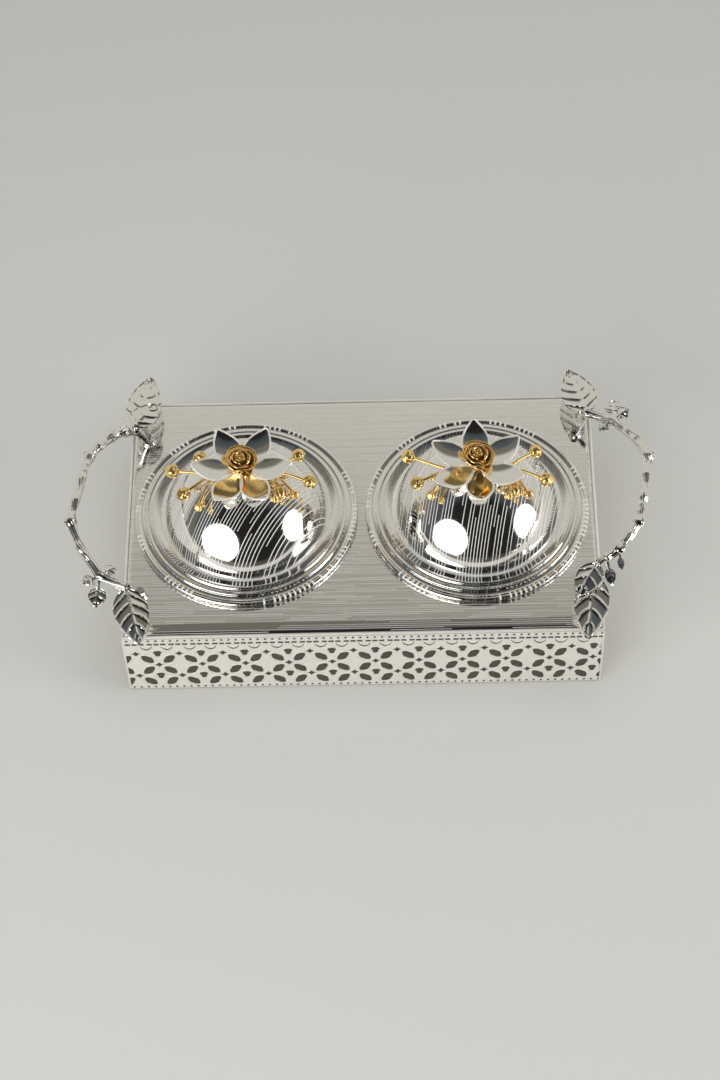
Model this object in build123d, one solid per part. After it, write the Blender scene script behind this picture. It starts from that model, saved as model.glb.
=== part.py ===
from build123d import *
import os
from math import cos, radians, sin, sqrt

# Mouth freshener box: a pierced gallery box with a mirror plate on top. Two bowls hang in the plate, each
# under a domed lid with a flower knob, and a cast vine handle stands at both ends.
# Origin: centre of the rest face. X runs along the box, Y from front to back, Z up. All sizes in mm.

# Box
BOX_L = 270.0  # outer length of the gallery
BOX_W = 165.0  # outer depth of the gallery
BOX_H = 54.4  # rest face to the top of the plate
FELT_T = 1.2
FELT_INSET = 4.0
BOARD_T = 4.0
GALLERY_T = 0.8
GALLERY_LIFT = 0.6  # gallery bottom above the rest face
GALLERY_DROP = 1.2  # gallery top below the top of the plate
LINER_T = 3.0

# Top plate
PLATE_T = 1.2
SKIRT_H = 6.0
PLATE_ROLL = 3.0  # outer radius of the rolled edge
PLATE_CORNER = 2.0

# Pierced pattern of the gallery
PITCH_AIM = 24.0  # wanted length of one repeat
PATTERN_PHASE = 0.776  # place of the first round opening, in repeats
HOLE_EDGE = 1.0  # metal left between an opening and the end of a panel
HOLE_LEAST = 1.6  # narrowest opening that is still pierced
LOZENGE_HALF = 4.7
LOZENGE_WIDE = 2.6  # half width of a lozenge
STAR_HALF = 2.4
ROUND_HALF = 2.5
BAND_LOW = 8.1  # height of the lowest row of lozenges above the gallery's bottom
BAND_STEP = 5.8  # height from one row to the next
# Outlines of the openings in half sizes
LOZENGE = [(-1, 0), (-0.6, 0.7), (0, 1), (0.55, 0.85), (1, 0), (0.6, -0.7), (0, -1), (-0.55, -0.85)]
STAR = [(-1, 0), (-0.4, -0.4), (0, -1), (0.4, -0.4), (1, 0), (0.4, 0.4), (0, 1), (-0.4, 0.4)]
MUSHROOM = [
    (-1, 0.25), (-0.7, 0.8), (0, 1), (0.7, 0.8), (1, 0.25), (0.55, -0.2), (0.5, -1), (-0.5, -1), (-0.55, -0.2),
]

# Lids and bowls
LID_GAP = 4.4  # between the two lids
END_MARGIN = 4.8  # from a lid to the end of the box
SHEET_T = 1.0
LID_SEAT_EDGE = 3.0  # lid rim outside the bowl's flange
RIM_LAND = 3.5  # width of the outer land of the lid's rim
RIM_EDGE_H = 1.9
RIM_STEP_W = 3.3
RIM_STEP_H = 1.3
RIM_RUN = 4.2  # inner land of the rim, up to the cove
RIM_FALL = 0.2  # each land of the rim rises inwards by this
RIM_SLANT = 0.4  # and each step leans inwards by this
COVE_W = 5.8
COVE_DROP = 1.2  # from the rim's inner land down to the foot of the dome
COVE_DIP = 0.2  # lowest line of the cove below the foot of the dome
DOME_H = 37.2
DOME_FOOT_T = 2.2  # thickness of the metal under the cove
BOSS_R = 7.0  # flat on top of the dome that seats the knob
BOSS_H = 0.5
BOSS_FLARE = 0.6
LIP_H = 4.0  # lip under the lid that drops into the bowl
LIP_CLEAR = 0.6
BOWL_CLEAR = 0.8  # bowl wall to the edge of the plate's opening
BOWL_DEPTH = 40.0
BOWL_FLANGE_LAP = 4.0  # flange on the plate, outside the opening
BOWL_BASE_SHARE = 0.55  # radius of the bowl's flat base as a part of its mouth
BOWL_SHOULDER_SHARE = 0.45  # height of its curved part as a part of its depth

# Flower knob
PETAL_N = 6
PETAL_ROOT = 4.0
PETAL_TIP = 28.5
PETAL_HALF_W = 6.4
PETAL_CUP_R = 19.0
PETAL_T = 0.9
PETAL_TILT = 9.0
HUB_R = 7.0
HUB_T = 1.5
TURN_LEFT = 0.0  # turn of the petals on the left lid, degrees
TURN_RIGHT = -27.0
ROSE_R = 10.0
ROSE_H = 15.0
ROSE_WALL = 0.9
ROSE_RINGS = 3
SCREW_R = 1.9
SCREW_CLEAR = 0.3
SCREW_HEAD_R = 4.0
SCREW_HEAD_H = 2.0
SCREW_REACH = 5.0  # screw inside the rose
COLLAR_R = 5.4
COLLAR_T = 1.5
COLLAR_SPLIT = 0.4  # gap between the collars of the two sprays
STEM_R = 0.6
FORK_X = 17.0  # where a spray branches, beside the axis

# Berries: place beside the knob's axis, height above the top of the boss, radius
SPRAYS_LEFT = {
    "left": [(-39.6, 2.8, -1.5, 4), (-24, 10.8, 0, 3.8), (-32.8, -13.3, -1.5, 4), (-24.2, -21.7, -3, 2.4)],
    "right": [(31.9, 10.8, 0, 3.8), (38.3, -6.7, -1.5, 4), (21.5, -13.2, -2, 3.4), (29.9, -14.8, -2.5, 2.4)],
}
SPRAYS_RIGHT = {
    "left": [(-38.9, 9.3, -1.0, 4.0), (-34.2, -8.9, -1.5, 3.8), (-26.5, -16.7, -3, 2.6)],
    "right": [(33.2, 10.3, 0, 3.8), (38.5, -8.6, -1.5, 4.0), (28.1, -17.3, -3, 2.6), (20.4, -14.4, -2, 3.4)],
}

# Handles: points are (out from the box end, along Y, above the plate) for the right handle
HANDLE_SPAN = 108.0  # between the two feet
FOOT_INSET = 10.0  # from the box end to a foot
FOOT_R = 4.2
FOOT_H = 2.0
VINE_R = 2.2
KNOT_GROW = 0.6
VINE_ROUTE = [
    (-4.3, -50.0, 16.4), (2.1, -47.2, 18.6), (8.9, -43.3, 20.6), (15.5, -34.7, 22.6), (20.5, -27.2, 23.3),
    (24.3, -10.2, 24.6), (27.0, 5.0, 24.6), (29.0, 18.6, 24.1), (23.6, 33.8, 20.6), (11.5, 50.9, 15.9),
    (-3.2, 58.1, 14.4),
]
# Cut twigs: number of the point in the route, and the way the twig stands out
SPURS = [
    (4, (4, -3, 2)), (5, (3.5, -3.5, 1)), (6, (-4.5, 1, 1)), (7, (4.5, 2, 1.5)), (8, (4, 3.5, 0)),
]
SPUR_R = 1.5
LEAF_T = 1.2
LEAF_CUP_R = 18.0
RIB_R = 0.8
SOLDER_GAP = 0.15
# Leaves: base, tip, roll that lowers the outer edge in degrees, half width of the blade, length of the stalk
LEAVES = {
    "leaf_front": ((-5.6, -56.5, 14.0), (-10.5, -94.0, 9.6), 6.0, 10.5, 6.0),
    "leaf_back": ((-3.2, 58.1, 14.4), (-11.8, 92.7, 9.6), 6.0, 10.5, 0.0),
    "leaf_small": ((-4.6, -50.6, 18.6), (-18.2, -70.1, 18.2), 4.0, 7.4, 0.0),
}
# Sprigs: number of the point of the route they grow from, tip, half width of the small blade
SPRIGS = [
    (9, (20.4, 57.0, 18.7), 3.4),
    (9, (13.4, 68.5, 11.5), 3.6),
    (9, (3.4, 44.6, 15.6), 3.4),
    (1, (4.4, -61.6, 13.2), 3.1),
    (2, (10.0, -54.5, 17.6), 2.0),
]
SPRIG_R = 1.1
STUD_R = 2.0
STUD_REACH = 6.0
STUD_TAIL = 8.0
NUT_R = 3.9
NUT_T = 3.2

# Places that follow from the sizes above
LID_R = (BOX_L / 2 - END_MARGIN - LID_GAP / 2) / 2
LID_X = LID_R + LID_GAP / 2
SEAT_Z = BOX_H + SHEET_T  # underside of a lid's rim, on the bowl's flange
FLANGE_R = LID_R - LID_SEAT_EDGE
OPENING_R = FLANGE_R - BOWL_FLANGE_LAP
BOWL_R = OPENING_R - BOWL_CLEAR
BOARD_TOP = FELT_T + BOARD_T
CORE_L = BOX_L - 2 * GALLERY_T
CORE_W = BOX_W - 2 * GALLERY_T
PLATE_UNDER = BOX_H - PLATE_T
FEET = [(BOX_L / 2 - FOOT_INSET, side * HANDLE_SPAN / 2) for side in (-1, 1)]
END_TURN = {"right": 0, "left": 180}


def part_at(shape, x=0.0, y=0.0, z=0.0, turn=0.0):
    """Turns a shape about Z, then moves it."""
    return Pos(x, y, z) * Rot(0, 0, turn) * shape


def write(node, shape):
    """Writes one sub-part as parts/NODE.step."""
    solids = shape.solids()
    body = solids[0] if len(solids) == 1 else Compound(children=list(solids))
    body.label = node
    export_step(body, f"parts/{node}.step")
    print(node, len(solids), "solids", round(sum(s.volume for s in solids), 1), "mm3")


# Box base and liner
def base_board():
    """Floor board that the gallery stands round."""
    return Pos(0, 0, FELT_T) * Box(CORE_L, CORE_W, BOARD_T, align=(Align.CENTER, Align.CENTER, Align.MIN))


def base_felt():
    """Thin sheet under the board, set in from its edge: the rest face."""
    low = (Align.CENTER, Align.CENTER, Align.MIN)
    return Box(CORE_L - 2 * FELT_INSET, CORE_W - 2 * FELT_INSET, FELT_T, align=low)


def liners():
    """Four dark boards behind the pierced sides, against the plate's skirt and below its rolled edge."""
    height = BOX_H - PLATE_ROLL - BOARD_TOP
    long = CORE_L - 2 * PLATE_T
    deep = CORE_W - 2 * PLATE_T
    low = (Align.CENTER, Align.CENTER, Align.MIN)
    front = Box(long, LINER_T, height, align=low)
    side = Box(LINER_T, deep - 2 * LINER_T, height, align=low)
    y = deep / 2 - LINER_T / 2
    x = long / 2 - LINER_T / 2
    return {
        "liner_front": Pos(0, -y, BOARD_TOP) * front,
        "liner_back": Pos(0, y, BOARD_TOP) * front,
        "liner_left": Pos(-x, 0, BOARD_TOP) * side,
        "liner_right": Pos(x, 0, BOARD_TOP) * side,
    }


# Pierced gallery
def lozenge(lean):
    """Slanted leaf-like opening; lean 1 rises to the right, -1 falls to the right."""
    a = LOZENGE_HALF / sqrt(2)
    b = LOZENGE_WIDE / sqrt(2)
    return [(u * a - v * b * lean, u * a * lean + v * b) for u, v in LOZENGE]


def scaled(outline, half):
    """An outline in half sizes, brought to its real size."""
    return [(u * half, v * half) for u, v in outline]


def pattern_rows():
    """Rows of one repeat from the bottom up: height, then outline and place in repeats."""
    low_pair = [(lozenge(-1), -0.25), (lozenge(1), 0.25)]
    high_pair = [(lozenge(1), -0.25), (lozenge(-1), 0.25)]
    star = scaled(STAR, STAR_HALF)
    rounds = [(scaled(MUSHROOM, ROUND_HALF), 0.0), (star, 0.5)]
    rows = [low_pair, rounds, high_pair, [(star, 0.0)], low_pair, rounds]
    return [(BAND_LOW + BAND_STEP * n, row) for n, row in enumerate(rows)]


def gallery_panel(length):
    """One pierced side, centred on X, standing on Z = 0 with its outer face towards -Y."""
    height = BOX_H - GALLERY_DROP - GALLERY_LIFT
    repeats = round(length / PITCH_AIM)
    pitch = length / repeats
    limit = length / 2 - HOLE_EDGE
    openings = []
    for level, row in pattern_rows():
        for outline, shift in row:
            for n in range(-1, repeats + 2):
                centre = -length / 2 + (n + PATTERN_PHASE + shift) * pitch
                points = [(min(max(centre + u, -limit), limit), level + v) for u, v in outline]
                wide = max(u for u, v in points) - min(u for u, v in points)
                if wide > HOLE_LEAST:
                    openings.append(points)
    outer = Wire.make_polygon([(u, 0, v) for u, v in rectangle(length, height)], close=True)
    corners = [[(u, 0, v) for u, v in drop_repeats(points)] for points in openings]
    inner = [Wire.make_polygon(points, close=True) for points in corners]
    print("gallery panel", round(length, 1), "mm,", repeats, "repeats,", len(inner), "openings")
    return extrude(Face(outer, inner), amount=GALLERY_T, dir=(0, 1, 0))


def rectangle(length, height):
    """Corners of a rectangle centred on the first axis and standing on the second."""
    return [(-length / 2, 0), (length / 2, 0), (length / 2, height), (-length / 2, height)]


def drop_repeats(points):
    """Leaves out a corner that falls on the one before it, where a panel's end clips an opening."""
    return [p for n, p in enumerate(points) if p != points[n - 1]]


def galleries():
    """The long sides cover the ends of the short ones."""
    long_side = gallery_panel(BOX_L)
    short_side = gallery_panel(CORE_W)
    return {
        "gallery_front": part_at(long_side, 0, -BOX_W / 2, GALLERY_LIFT),
        "gallery_back": part_at(long_side, 0, BOX_W / 2, GALLERY_LIFT, 180),
        "gallery_left": part_at(short_side, -BOX_L / 2, 0, GALLERY_LIFT, -90),
        "gallery_right": part_at(short_side, BOX_L / 2, 0, GALLERY_LIFT, 90),
    }


# Top plate
def top_plate():
    """Flat plate with a rolled edge, a turned-down skirt, two bowl openings and four stud holes."""
    depth = PLATE_T + SKIRT_H
    high = (Align.CENTER, Align.CENTER, Align.MAX)
    plate = Pos(0, 0, BOX_H) * Box(CORE_L, CORE_W, depth, align=high)
    plate = fillet(plate.edges().filter_by(Axis.Z), PLATE_CORNER)
    plate = fillet(plate.edges().group_by(Axis.Z)[-1], PLATE_ROLL)
    hollow = Box(CORE_L - 2 * PLATE_T, CORE_W - 2 * PLATE_T, SKIRT_H, align=high)
    hollow = fillet(hollow.edges().group_by(Axis.Z)[-1], PLATE_ROLL - PLATE_T)
    plate -= Pos(0, 0, PLATE_UNDER) * hollow
    for side in (-1, 1):
        plate -= Pos(side * LID_X, 0, BOX_H) * Cylinder(OPENING_R, 4 * PLATE_T)
    for x, y in FEET:
        for side in (-1, 1):
            plate -= Pos(side * x, side * y, BOX_H) * Cylinder(STUD_R + SCREW_CLEAR, 4 * PLATE_T)
    return plate


# Bowls and lids
def at(radius, height):
    """Point of a turned profile."""
    return Vector(radius, 0, height)


def bowl_shell(radius, depth, extra):
    """Solid of revolution with a flat base, a curved wall and a straight mouth that is extra higher."""
    base = radius * BOWL_BASE_SHARE
    shoulder = depth * BOWL_SHOULDER_SHARE
    mouth = depth + extra
    lines = Polyline(at(radius, shoulder), at(radius, mouth), at(0, mouth), at(0, 0), at(base, 0))
    lines += TangentArc(at(base, 0), at(radius, shoulder), tangent=(1, 0, 0))
    return revolve(make_face(lines), Axis.Z)


def bowl():
    """Spun bowl that hangs by its flange in the plate's opening."""
    outer = Pos(0, 0, BOX_H - BOWL_DEPTH) * bowl_shell(BOWL_R, BOWL_DEPTH, 0)
    flange = Pos(0, 0, BOX_H) * Cylinder(FLANGE_R, SHEET_T, align=(Align.CENTER, Align.CENTER, Align.MIN))
    hollow = bowl_shell(BOWL_R - SHEET_T, BOWL_DEPTH - SHEET_T, 2 * SHEET_T)
    return outer + flange - Pos(0, 0, BOX_H - BOWL_DEPTH + SHEET_T) * hollow


def rim_points():
    """Outer corners of the lid's stepped rim, from the edge inwards, above the rim's underside."""
    land = LID_R - RIM_LAND
    step = land - RIM_STEP_W
    run = step - RIM_RUN
    return [
        (LID_R, 0.0),
        (LID_R, RIM_EDGE_H),
        (land, RIM_EDGE_H + RIM_FALL),
        (land - RIM_SLANT, RIM_EDGE_H + RIM_STEP_H),
        (step, RIM_EDGE_H + RIM_STEP_H + RIM_FALL),
        (step - RIM_SLANT, RIM_EDGE_H + 2 * RIM_STEP_H),
        (run, RIM_EDGE_H + 2 * RIM_STEP_H + RIM_FALL),
    ]


def lid():
    """Spun lid: stepped rim with a rolled edge, cove, dome, flat boss with a screw hole, and a lip below."""
    rim = [at(r, z) for r, z in rim_points()]
    foot_r = rim[-1].X - COVE_W
    foot_z = rim[-1].Z - COVE_DROP
    ball = (foot_r**2 + DOME_H**2) / (2 * DOME_H)
    thin = ball - SHEET_T
    top = foot_z + DOME_H
    bore = SCREW_R + SCREW_CLEAR
    lip = BOWL_R - SHEET_T - LIP_CLEAR

    def on_ball(size, r):
        return at(r, top - ball + sqrt(size**2 - r**2))

    foot = on_ball(ball, foot_r)
    crown = on_ball(ball, BOSS_R + BOSS_FLARE)
    hole = on_ball(thin, bore)
    inner_foot = on_ball(thin, foot_r - SHEET_T)
    waist_r = foot_r * 0.7
    lines = Polyline(*rim)
    lines += ThreePointArc(rim[-1], at(foot_r + COVE_W / 2, foot_z - COVE_DIP), foot)
    lines += ThreePointArc(foot, on_ball(ball, waist_r), crown)
    lines += Polyline(crown, at(BOSS_R, top + BOSS_H), at(bore, top + BOSS_H), hole)
    lines += ThreePointArc(hole, on_ball(thin, waist_r), inner_foot)
    under = [
        inner_foot,
        at(foot_r, foot_z - DOME_FOOT_T),
        at(lip - SHEET_T, foot_z - DOME_FOOT_T),
        at(lip - SHEET_T, -LIP_H),
        at(lip, -LIP_H),
        at(lip, 0),
        rim[0],
    ]
    lines += Polyline(*under)
    body = revolve(make_face(lines), Axis.Z)
    edge = [e for e in body.edges().filter_by(GeomType.CIRCLE) if abs(e.radius - LID_R) < 0.01]
    head_seat = on_ball(thin, SCREW_HEAD_R).Z
    return fillet(edge, RIM_EDGE_H * 0.4), top + BOSS_H, head_seat


# Flower knob
def petal():
    """Cupped almond blade with its root at the axis, cut from a thin ball."""
    middle = (PETAL_ROOT + PETAL_TIP) / 2
    rise = PETAL_CUP_R - sqrt(PETAL_CUP_R**2 - (PETAL_TIP - middle) ** 2)
    root = Vector(PETAL_ROOT, 0)
    tip = Vector(PETAL_TIP, 0)
    outline = ThreePointArc(root, Vector(middle, -PETAL_HALF_W), tip)
    outline += ThreePointArc(tip, Vector(middle, PETAL_HALF_W), root)
    prism = extrude(make_face(outline), amount=PETAL_CUP_R)
    cup = Sphere(PETAL_CUP_R) - Sphere(PETAL_CUP_R - PETAL_T)
    blade = prism & (Pos(middle, 0, PETAL_CUP_R) * cup)
    return Rot(0, -PETAL_TILT, 0) * (Pos(0, 0, -rise) * blade)


def petals(turn):
    """Six petals on a round hub; the hub's underside is at Z = 0."""
    low = (Align.CENTER, Align.CENTER, Align.MIN)
    flower = Cylinder(HUB_R, HUB_T, align=low)
    for n in range(PETAL_N):
        flower += Rot(0, 0, turn + n * 360 / PETAL_N) * (Pos(0, 0, HUB_T) * petal())
    return flower - Cylinder(SCREW_R + SCREW_CLEAR, 4 * HUB_T)


def rose():
    """Open rose on a calyx: rings of curved petals, each ring taller and turned against the one outside it."""
    low = (Align.CENTER, Align.CENTER, Align.MIN)
    calyx_h = ROSE_H * 0.4
    flower = Cone(ROSE_R * 0.32, ROSE_R * 0.5, calyx_h, align=low)
    for ring in range(ROSE_RINGS):
        reach = ROSE_R * (1 - 0.28 * ring)
        top = ROSE_H * (0.8 + 0.1 * ring)
        root = reach * 0.42
        start = calyx_h * 0.6
        swell = at(reach * 0.86, start + (top - start) * 0.42)
        thin = ROSE_WALL
        outline = ThreePointArc(at(root, start), swell, at(reach, top))
        outline += Polyline(at(reach, top), at(reach - thin, top))
        outline += ThreePointArc(at(reach - thin, top), swell - Vector(thin, 0, 0), at(root - thin, start))
        outline += Polyline(at(root - thin, start), at(root, start))
        wall = revolve(make_face(outline), Axis.Z, revolution_arc=112)
        for n in range(3):
            flower += Rot(0, 0, 62 * ring + 120 * n) * wall
    flower += Pos(0, 0, calyx_h) * Cone(ROSE_R * 0.22, ROSE_R * 0.12, ROSE_H * 0.62, align=low)
    bore = Cylinder(SCREW_R + SCREW_CLEAR, SCREW_REACH, align=low)
    return flower - bore


def rod(start, end, r0, r1):
    """Tapered round rod between two points."""
    way = Vector(*end) - Vector(*start)
    return Solid.make_cone(r0, r1, way.length, Plane(origin=start, z_dir=way))


def spray(side, berries):
    """Half collar round the screw with thin stems that end in berries; its underside is at Z = 0."""
    sign = -1 if side == "left" else 1
    low = (Align.CENTER, Align.CENTER, Align.MIN)
    ring = Cylinder(COLLAR_R, COLLAR_T, align=low) - Cylinder(SCREW_R + SCREW_CLEAR, 4 * COLLAR_T)
    keep = Pos(sign * (COLLAR_R + COLLAR_SPLIT / 2), 0, 0) * Box(2 * COLLAR_R, 4 * COLLAR_R, 4 * COLLAR_T)
    solid = ring & keep
    trunk = (sign * COLLAR_R * 0.75, 0, COLLAR_T - 1.05 * STEM_R)
    fork = (sign * FORK_X, -1.0, 0)
    solid += rod(trunk, fork, STEM_R, STEM_R * 0.95)
    solid += Pos(*fork) * Sphere(STEM_R * 1.3)
    for x, y, z, radius in berries:
        solid += rod(fork, (x, y, z), STEM_R, STEM_R * 0.7)
        solid += Pos(x, y, z) * Sphere(radius)
    return solid


def knob_screw(reach):
    """Screw from inside the dome into the rose, reach long; the top of its head is at Z = 0."""
    low = (Align.CENTER, Align.CENTER, Align.MIN)
    high = (Align.CENTER, Align.CENTER, Align.MAX)
    return Cylinder(SCREW_HEAD_R, SCREW_HEAD_H, align=high) + Cylinder(SCREW_R, reach, align=low)


# Handles
def on_end(point):
    """Handle point (out from the box end, along Y, above the plate) in the box's own frame."""
    return (BOX_L / 2 + point[0], point[1], BOX_H + point[2])


def vine(grow=0.0):
    """Knotty cast vine on two feet; grow thickens it to cut what is soldered to it."""
    high = (Align.CENTER, Align.CENTER, Align.MAX)
    low = (Align.CENTER, Align.CENTER, Align.MIN)
    tops = [(x, y, BOX_H + FOOT_H / 2) for x, y in FEET]
    route = [tops[0]] + [on_end(p) for p in VINE_ROUTE] + [tops[1]]
    thick = VINE_R + grow
    solid = Pos(*FEET[0], BOX_H) * Cylinder(FOOT_R, FOOT_H, align=low)
    for n in range(len(route) - 1):
        solid += rod(route[n], route[n + 1], thick, thick * 0.9)
        solid += Pos(*route[n + 1]) * Sphere(thick + KNOT_GROW * (1 if n % 2 else 0.5))
    solid += Pos(*FEET[1], BOX_H) * Cylinder(FOOT_R, FOOT_H, align=low)
    for place, way in SPURS:
        start = Vector(*on_end(VINE_ROUTE[place]))
        solid += rod(start, start + Vector(*way), SPUR_R + grow, SPUR_R * 0.5)
    for x, y in FEET:
        solid -= Pos(x, y, BOX_H) * Cylinder(STUD_R + SCREW_CLEAR, 2 * STUD_REACH)
        solid -= Pos(x, y, BOX_H) * Cylinder(2 * FOOT_R, BOX_H, align=high)
    return solid


def blade(base, tip, roll, half, stalk=0.0):
    """Leaf blade: an almond cut from a thin tube that arches across it, with a midrib along its back."""
    base = Vector(*base)
    along = Vector(*tip) - base
    length = along.length
    across = Vector(0, 0, 1).cross(along)
    frame = Plane(origin=base, x_dir=along, z_dir=along.cross(across))
    belly = length * 0.42
    outline = ThreePointArc(Vector(0, 0), Vector(belly, -half), Vector(length, 0))
    outline += ThreePointArc(Vector(length, 0), Vector(belly, half), Vector(0, 0))
    prism = extrude(make_face(outline), amount=LEAF_CUP_R, both=True)
    tube = Cylinder(LEAF_CUP_R, 3 * length) - Cylinder(LEAF_CUP_R - LEAF_T, 4 * length)
    tube = Pos(length / 2, 0, -LEAF_CUP_R) * (Rot(0, 90, 0) * tube)
    upper = Pos(length / 2, 0, 0) * Box(2 * length, 4 * half, 2 * LEAF_CUP_R)
    rib = rod((length * 0.04 - stalk, 0, 0), (length * 0.9, 0, 0), RIB_R, RIB_R * 0.4)
    leaf = (prism & tube & upper) + Pos(0, 0, -RIB_R * 0.4) * rib
    return frame.location * (Rot(roll if along.Y < 0 else -roll, 0, 0) * leaf)


def sprig(start, tip, half, cutter):
    """Thin stem with a small blade at its end."""
    start = Vector(*start)
    way = Vector(*tip) - start
    neck = start + way * 0.42
    stem = rod(start, start + way * 0.5, SPRIG_R, SPRIG_R * 0.7)
    return stem + blade(neck, tip, 0, half) - cutter


def handle_studs():
    """Four threaded studs that hold the feet through the plate."""
    low = (Align.CENTER, Align.CENTER, Align.MIN)
    stud = Pos(0, 0, BOX_H - STUD_TAIL) * Cylinder(STUD_R, STUD_TAIL + STUD_REACH, align=low)
    return [Pos(side * x, side * y) * stud for x, y in FEET for side in (-1, 1)]


def handle_nuts():
    """Hexagon nuts on the studs, tight under the plate."""
    nut = extrude(RegularPolygon(NUT_R, 6), amount=-NUT_T)
    nut -= Cylinder(STUD_R + SCREW_CLEAR, 4 * NUT_T)
    return [Pos(side * x, side * y, PLATE_UNDER) * nut for x, y in FEET for side in (-1, 1)]


def build():
    """Builds every sub-part and writes one file for each."""
    os.makedirs("parts", exist_ok=True)
    write("base_felt", base_felt())
    write("base_board", base_board())
    for node, shape in liners().items():
        write(node, shape)
    for node, shape in galleries().items():
        write(node, shape)
    write("top_plate", top_plate())

    turned_bowl = bowl()
    turned_lid, boss_z, head_z = lid()
    turned_rose = rose()
    screw = knob_screw(boss_z - head_z + COLLAR_T + HUB_T + SCREW_REACH)
    boss = SEAT_Z + boss_z
    sides = {"left": (-LID_X, TURN_LEFT, SPRAYS_LEFT), "right": (LID_X, TURN_RIGHT, SPRAYS_RIGHT)}
    for side, (x, turn, sprays) in sides.items():
        write(f"bowl_{side}", part_at(turned_bowl, x))
        write(f"lid_{side}", part_at(turned_lid, x, 0, SEAT_Z))
        write(f"petals_{side}", part_at(petals(turn), x, 0, boss + COLLAR_T))
        write(f"rose_{side}", part_at(turned_rose, x, 0, boss + COLLAR_T + HUB_T))
        write(f"knob_screw_{side}", part_at(screw, x, 0, SEAT_Z + head_z))
        for hand, berries in sprays.items():
            write(f"spray_{side}_{hand}", part_at(spray(hand, berries), x, 0, boss))

    cast = vine()
    cutter = vine(SOLDER_GAP)
    for side, turn in END_TURN.items():
        write(f"vine_{side}", part_at(cast, turn=turn))
        for name, (base, tip, roll, half, stalk) in LEAVES.items():
            leaf = blade(on_end(base), on_end(tip), roll, half, stalk) - cutter
            write(f"{name}_{side}", part_at(leaf, turn=turn))
        twigs = [sprig(on_end(VINE_ROUTE[n]), on_end(tip), half, cutter) for n, tip, half in SPRIGS]
        write(f"sprigs_{side}", part_at(Compound(children=twigs), turn=turn))
    write("handle_studs", Compound(children=handle_studs()))
    write("handle_nuts", Compound(children=handle_nuts()))


build()
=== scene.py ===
# %% [markdown]
# # A mouth freshener box with two flower-knobbed lids
# The real thing is a silver-plated box. Its sides are pierced like lace, a mirror plate lies on top, and
# two bowls hang in that plate under domed lids. Each lid has a flower for a knob, and a cast vine stands at
# both ends as a handle. This first step loads the measured parts, which fix every size and place.

# %% Load the parts
from math import asin, cos, exp, pi, radians, sin, sqrt

import bmesh
import bpy
from bmesh.types import BMEdge, BMVert
from mathutils import Matrix, Vector, noise


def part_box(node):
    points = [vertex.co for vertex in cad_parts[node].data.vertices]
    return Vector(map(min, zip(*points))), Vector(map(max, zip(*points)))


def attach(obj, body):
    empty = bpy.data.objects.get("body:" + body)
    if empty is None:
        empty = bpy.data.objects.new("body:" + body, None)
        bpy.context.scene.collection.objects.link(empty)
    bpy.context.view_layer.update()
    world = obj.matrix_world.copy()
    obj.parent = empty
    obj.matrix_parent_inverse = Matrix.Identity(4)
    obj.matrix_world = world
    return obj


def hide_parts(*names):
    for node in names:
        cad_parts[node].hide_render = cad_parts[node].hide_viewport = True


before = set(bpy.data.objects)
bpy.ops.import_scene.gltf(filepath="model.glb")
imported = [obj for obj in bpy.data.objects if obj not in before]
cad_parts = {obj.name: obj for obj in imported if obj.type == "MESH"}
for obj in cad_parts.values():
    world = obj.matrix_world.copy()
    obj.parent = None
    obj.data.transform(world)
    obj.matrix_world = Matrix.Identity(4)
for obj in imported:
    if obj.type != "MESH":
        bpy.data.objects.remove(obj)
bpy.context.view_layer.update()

MM = 0.001

# %% [markdown]
# ## The camera
# The photograph was taken from well above the front edge with a long lens. An empty with a constraint could
# aim the camera, but a turn about each axis is easier to read: first round the object, then down, then a
# little roll, because the box stands slightly askew in the picture.

# %% Camera
AROUND, DOWN, ROLL = radians(1.94), radians(55.364), radians(-2.712)
LOOK_AT = Vector((-1.08, -18.86, 54.38)) * MM
STAND_OFF = 1464.5 * MM
FOCAL_PIXELS, PICTURE_H, SENSOR = 2564.3, 1080, 36

tilt = Matrix.Rotation(AROUND, 4, "Z") @ Matrix.Rotation(pi / 2 - DOWN, 4, "X")
turn = tilt @ Matrix.Rotation(ROLL, 4, "Z")
camera = bpy.data.objects.new("camera", bpy.data.cameras.new("camera"))
bpy.context.scene.collection.objects.link(camera)
camera.matrix_world = Matrix.Translation(LOOK_AT) @ turn @ Matrix.Translation((0, 0, STAND_OFF))
camera.data.sensor_width = SENSOR
camera.data.lens = FOCAL_PIXELS * SENSOR / PICTURE_H
camera.data.clip_start = 0.05
bpy.context.scene.camera = camera
print("camera stands at", [round(v, 3) for v in camera.matrix_world.translation])

# %% [markdown]
# ## Helpers for the materials
# A finish is a small tree of shader nodes. Wiring every node by hand takes four lines each, so one helper
# adds a node, sets its options and feeds its inputs from other nodes or from plain values.

# %% Material helpers
def new_finish(name, color, metallic, roughness):
    """A Principled material; returns it with its node tree and its shader."""
    finish = bpy.data.materials.new(name)
    finish.use_nodes = True
    shader = finish.node_tree.nodes["Principled BSDF"]
    shader.inputs["Base Color"].default_value = (*color, 1)
    shader.inputs["Metallic"].default_value = metallic
    shader.inputs["Roughness"].default_value = roughness
    return finish, finish.node_tree, shader


def feed_input(tree, entry, feed):
    """Feeds a node's input from another node's output, or sets its value."""
    if isinstance(feed, bpy.types.NodeSocket):
        tree.links.new(feed, entry)
    else:
        entry.default_value = feed


def wire(tree, kind, *feeds, out=0, **options):
    """Adds a node, feeds its inputs in order (None leaves one as it is), and returns one output."""
    node = tree.nodes.new("ShaderNode" + kind)
    for key, value in options.items():
        setattr(node, key, value)
    for place, feed in enumerate(feeds):
        if feed is not None:
            feed_input(tree, node.inputs[place], feed)
    return node.outputs[out]


def sums(tree, operation, *feeds):
    """A Math node."""
    return wire(tree, "Math", *feeds, operation=operation)


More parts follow.
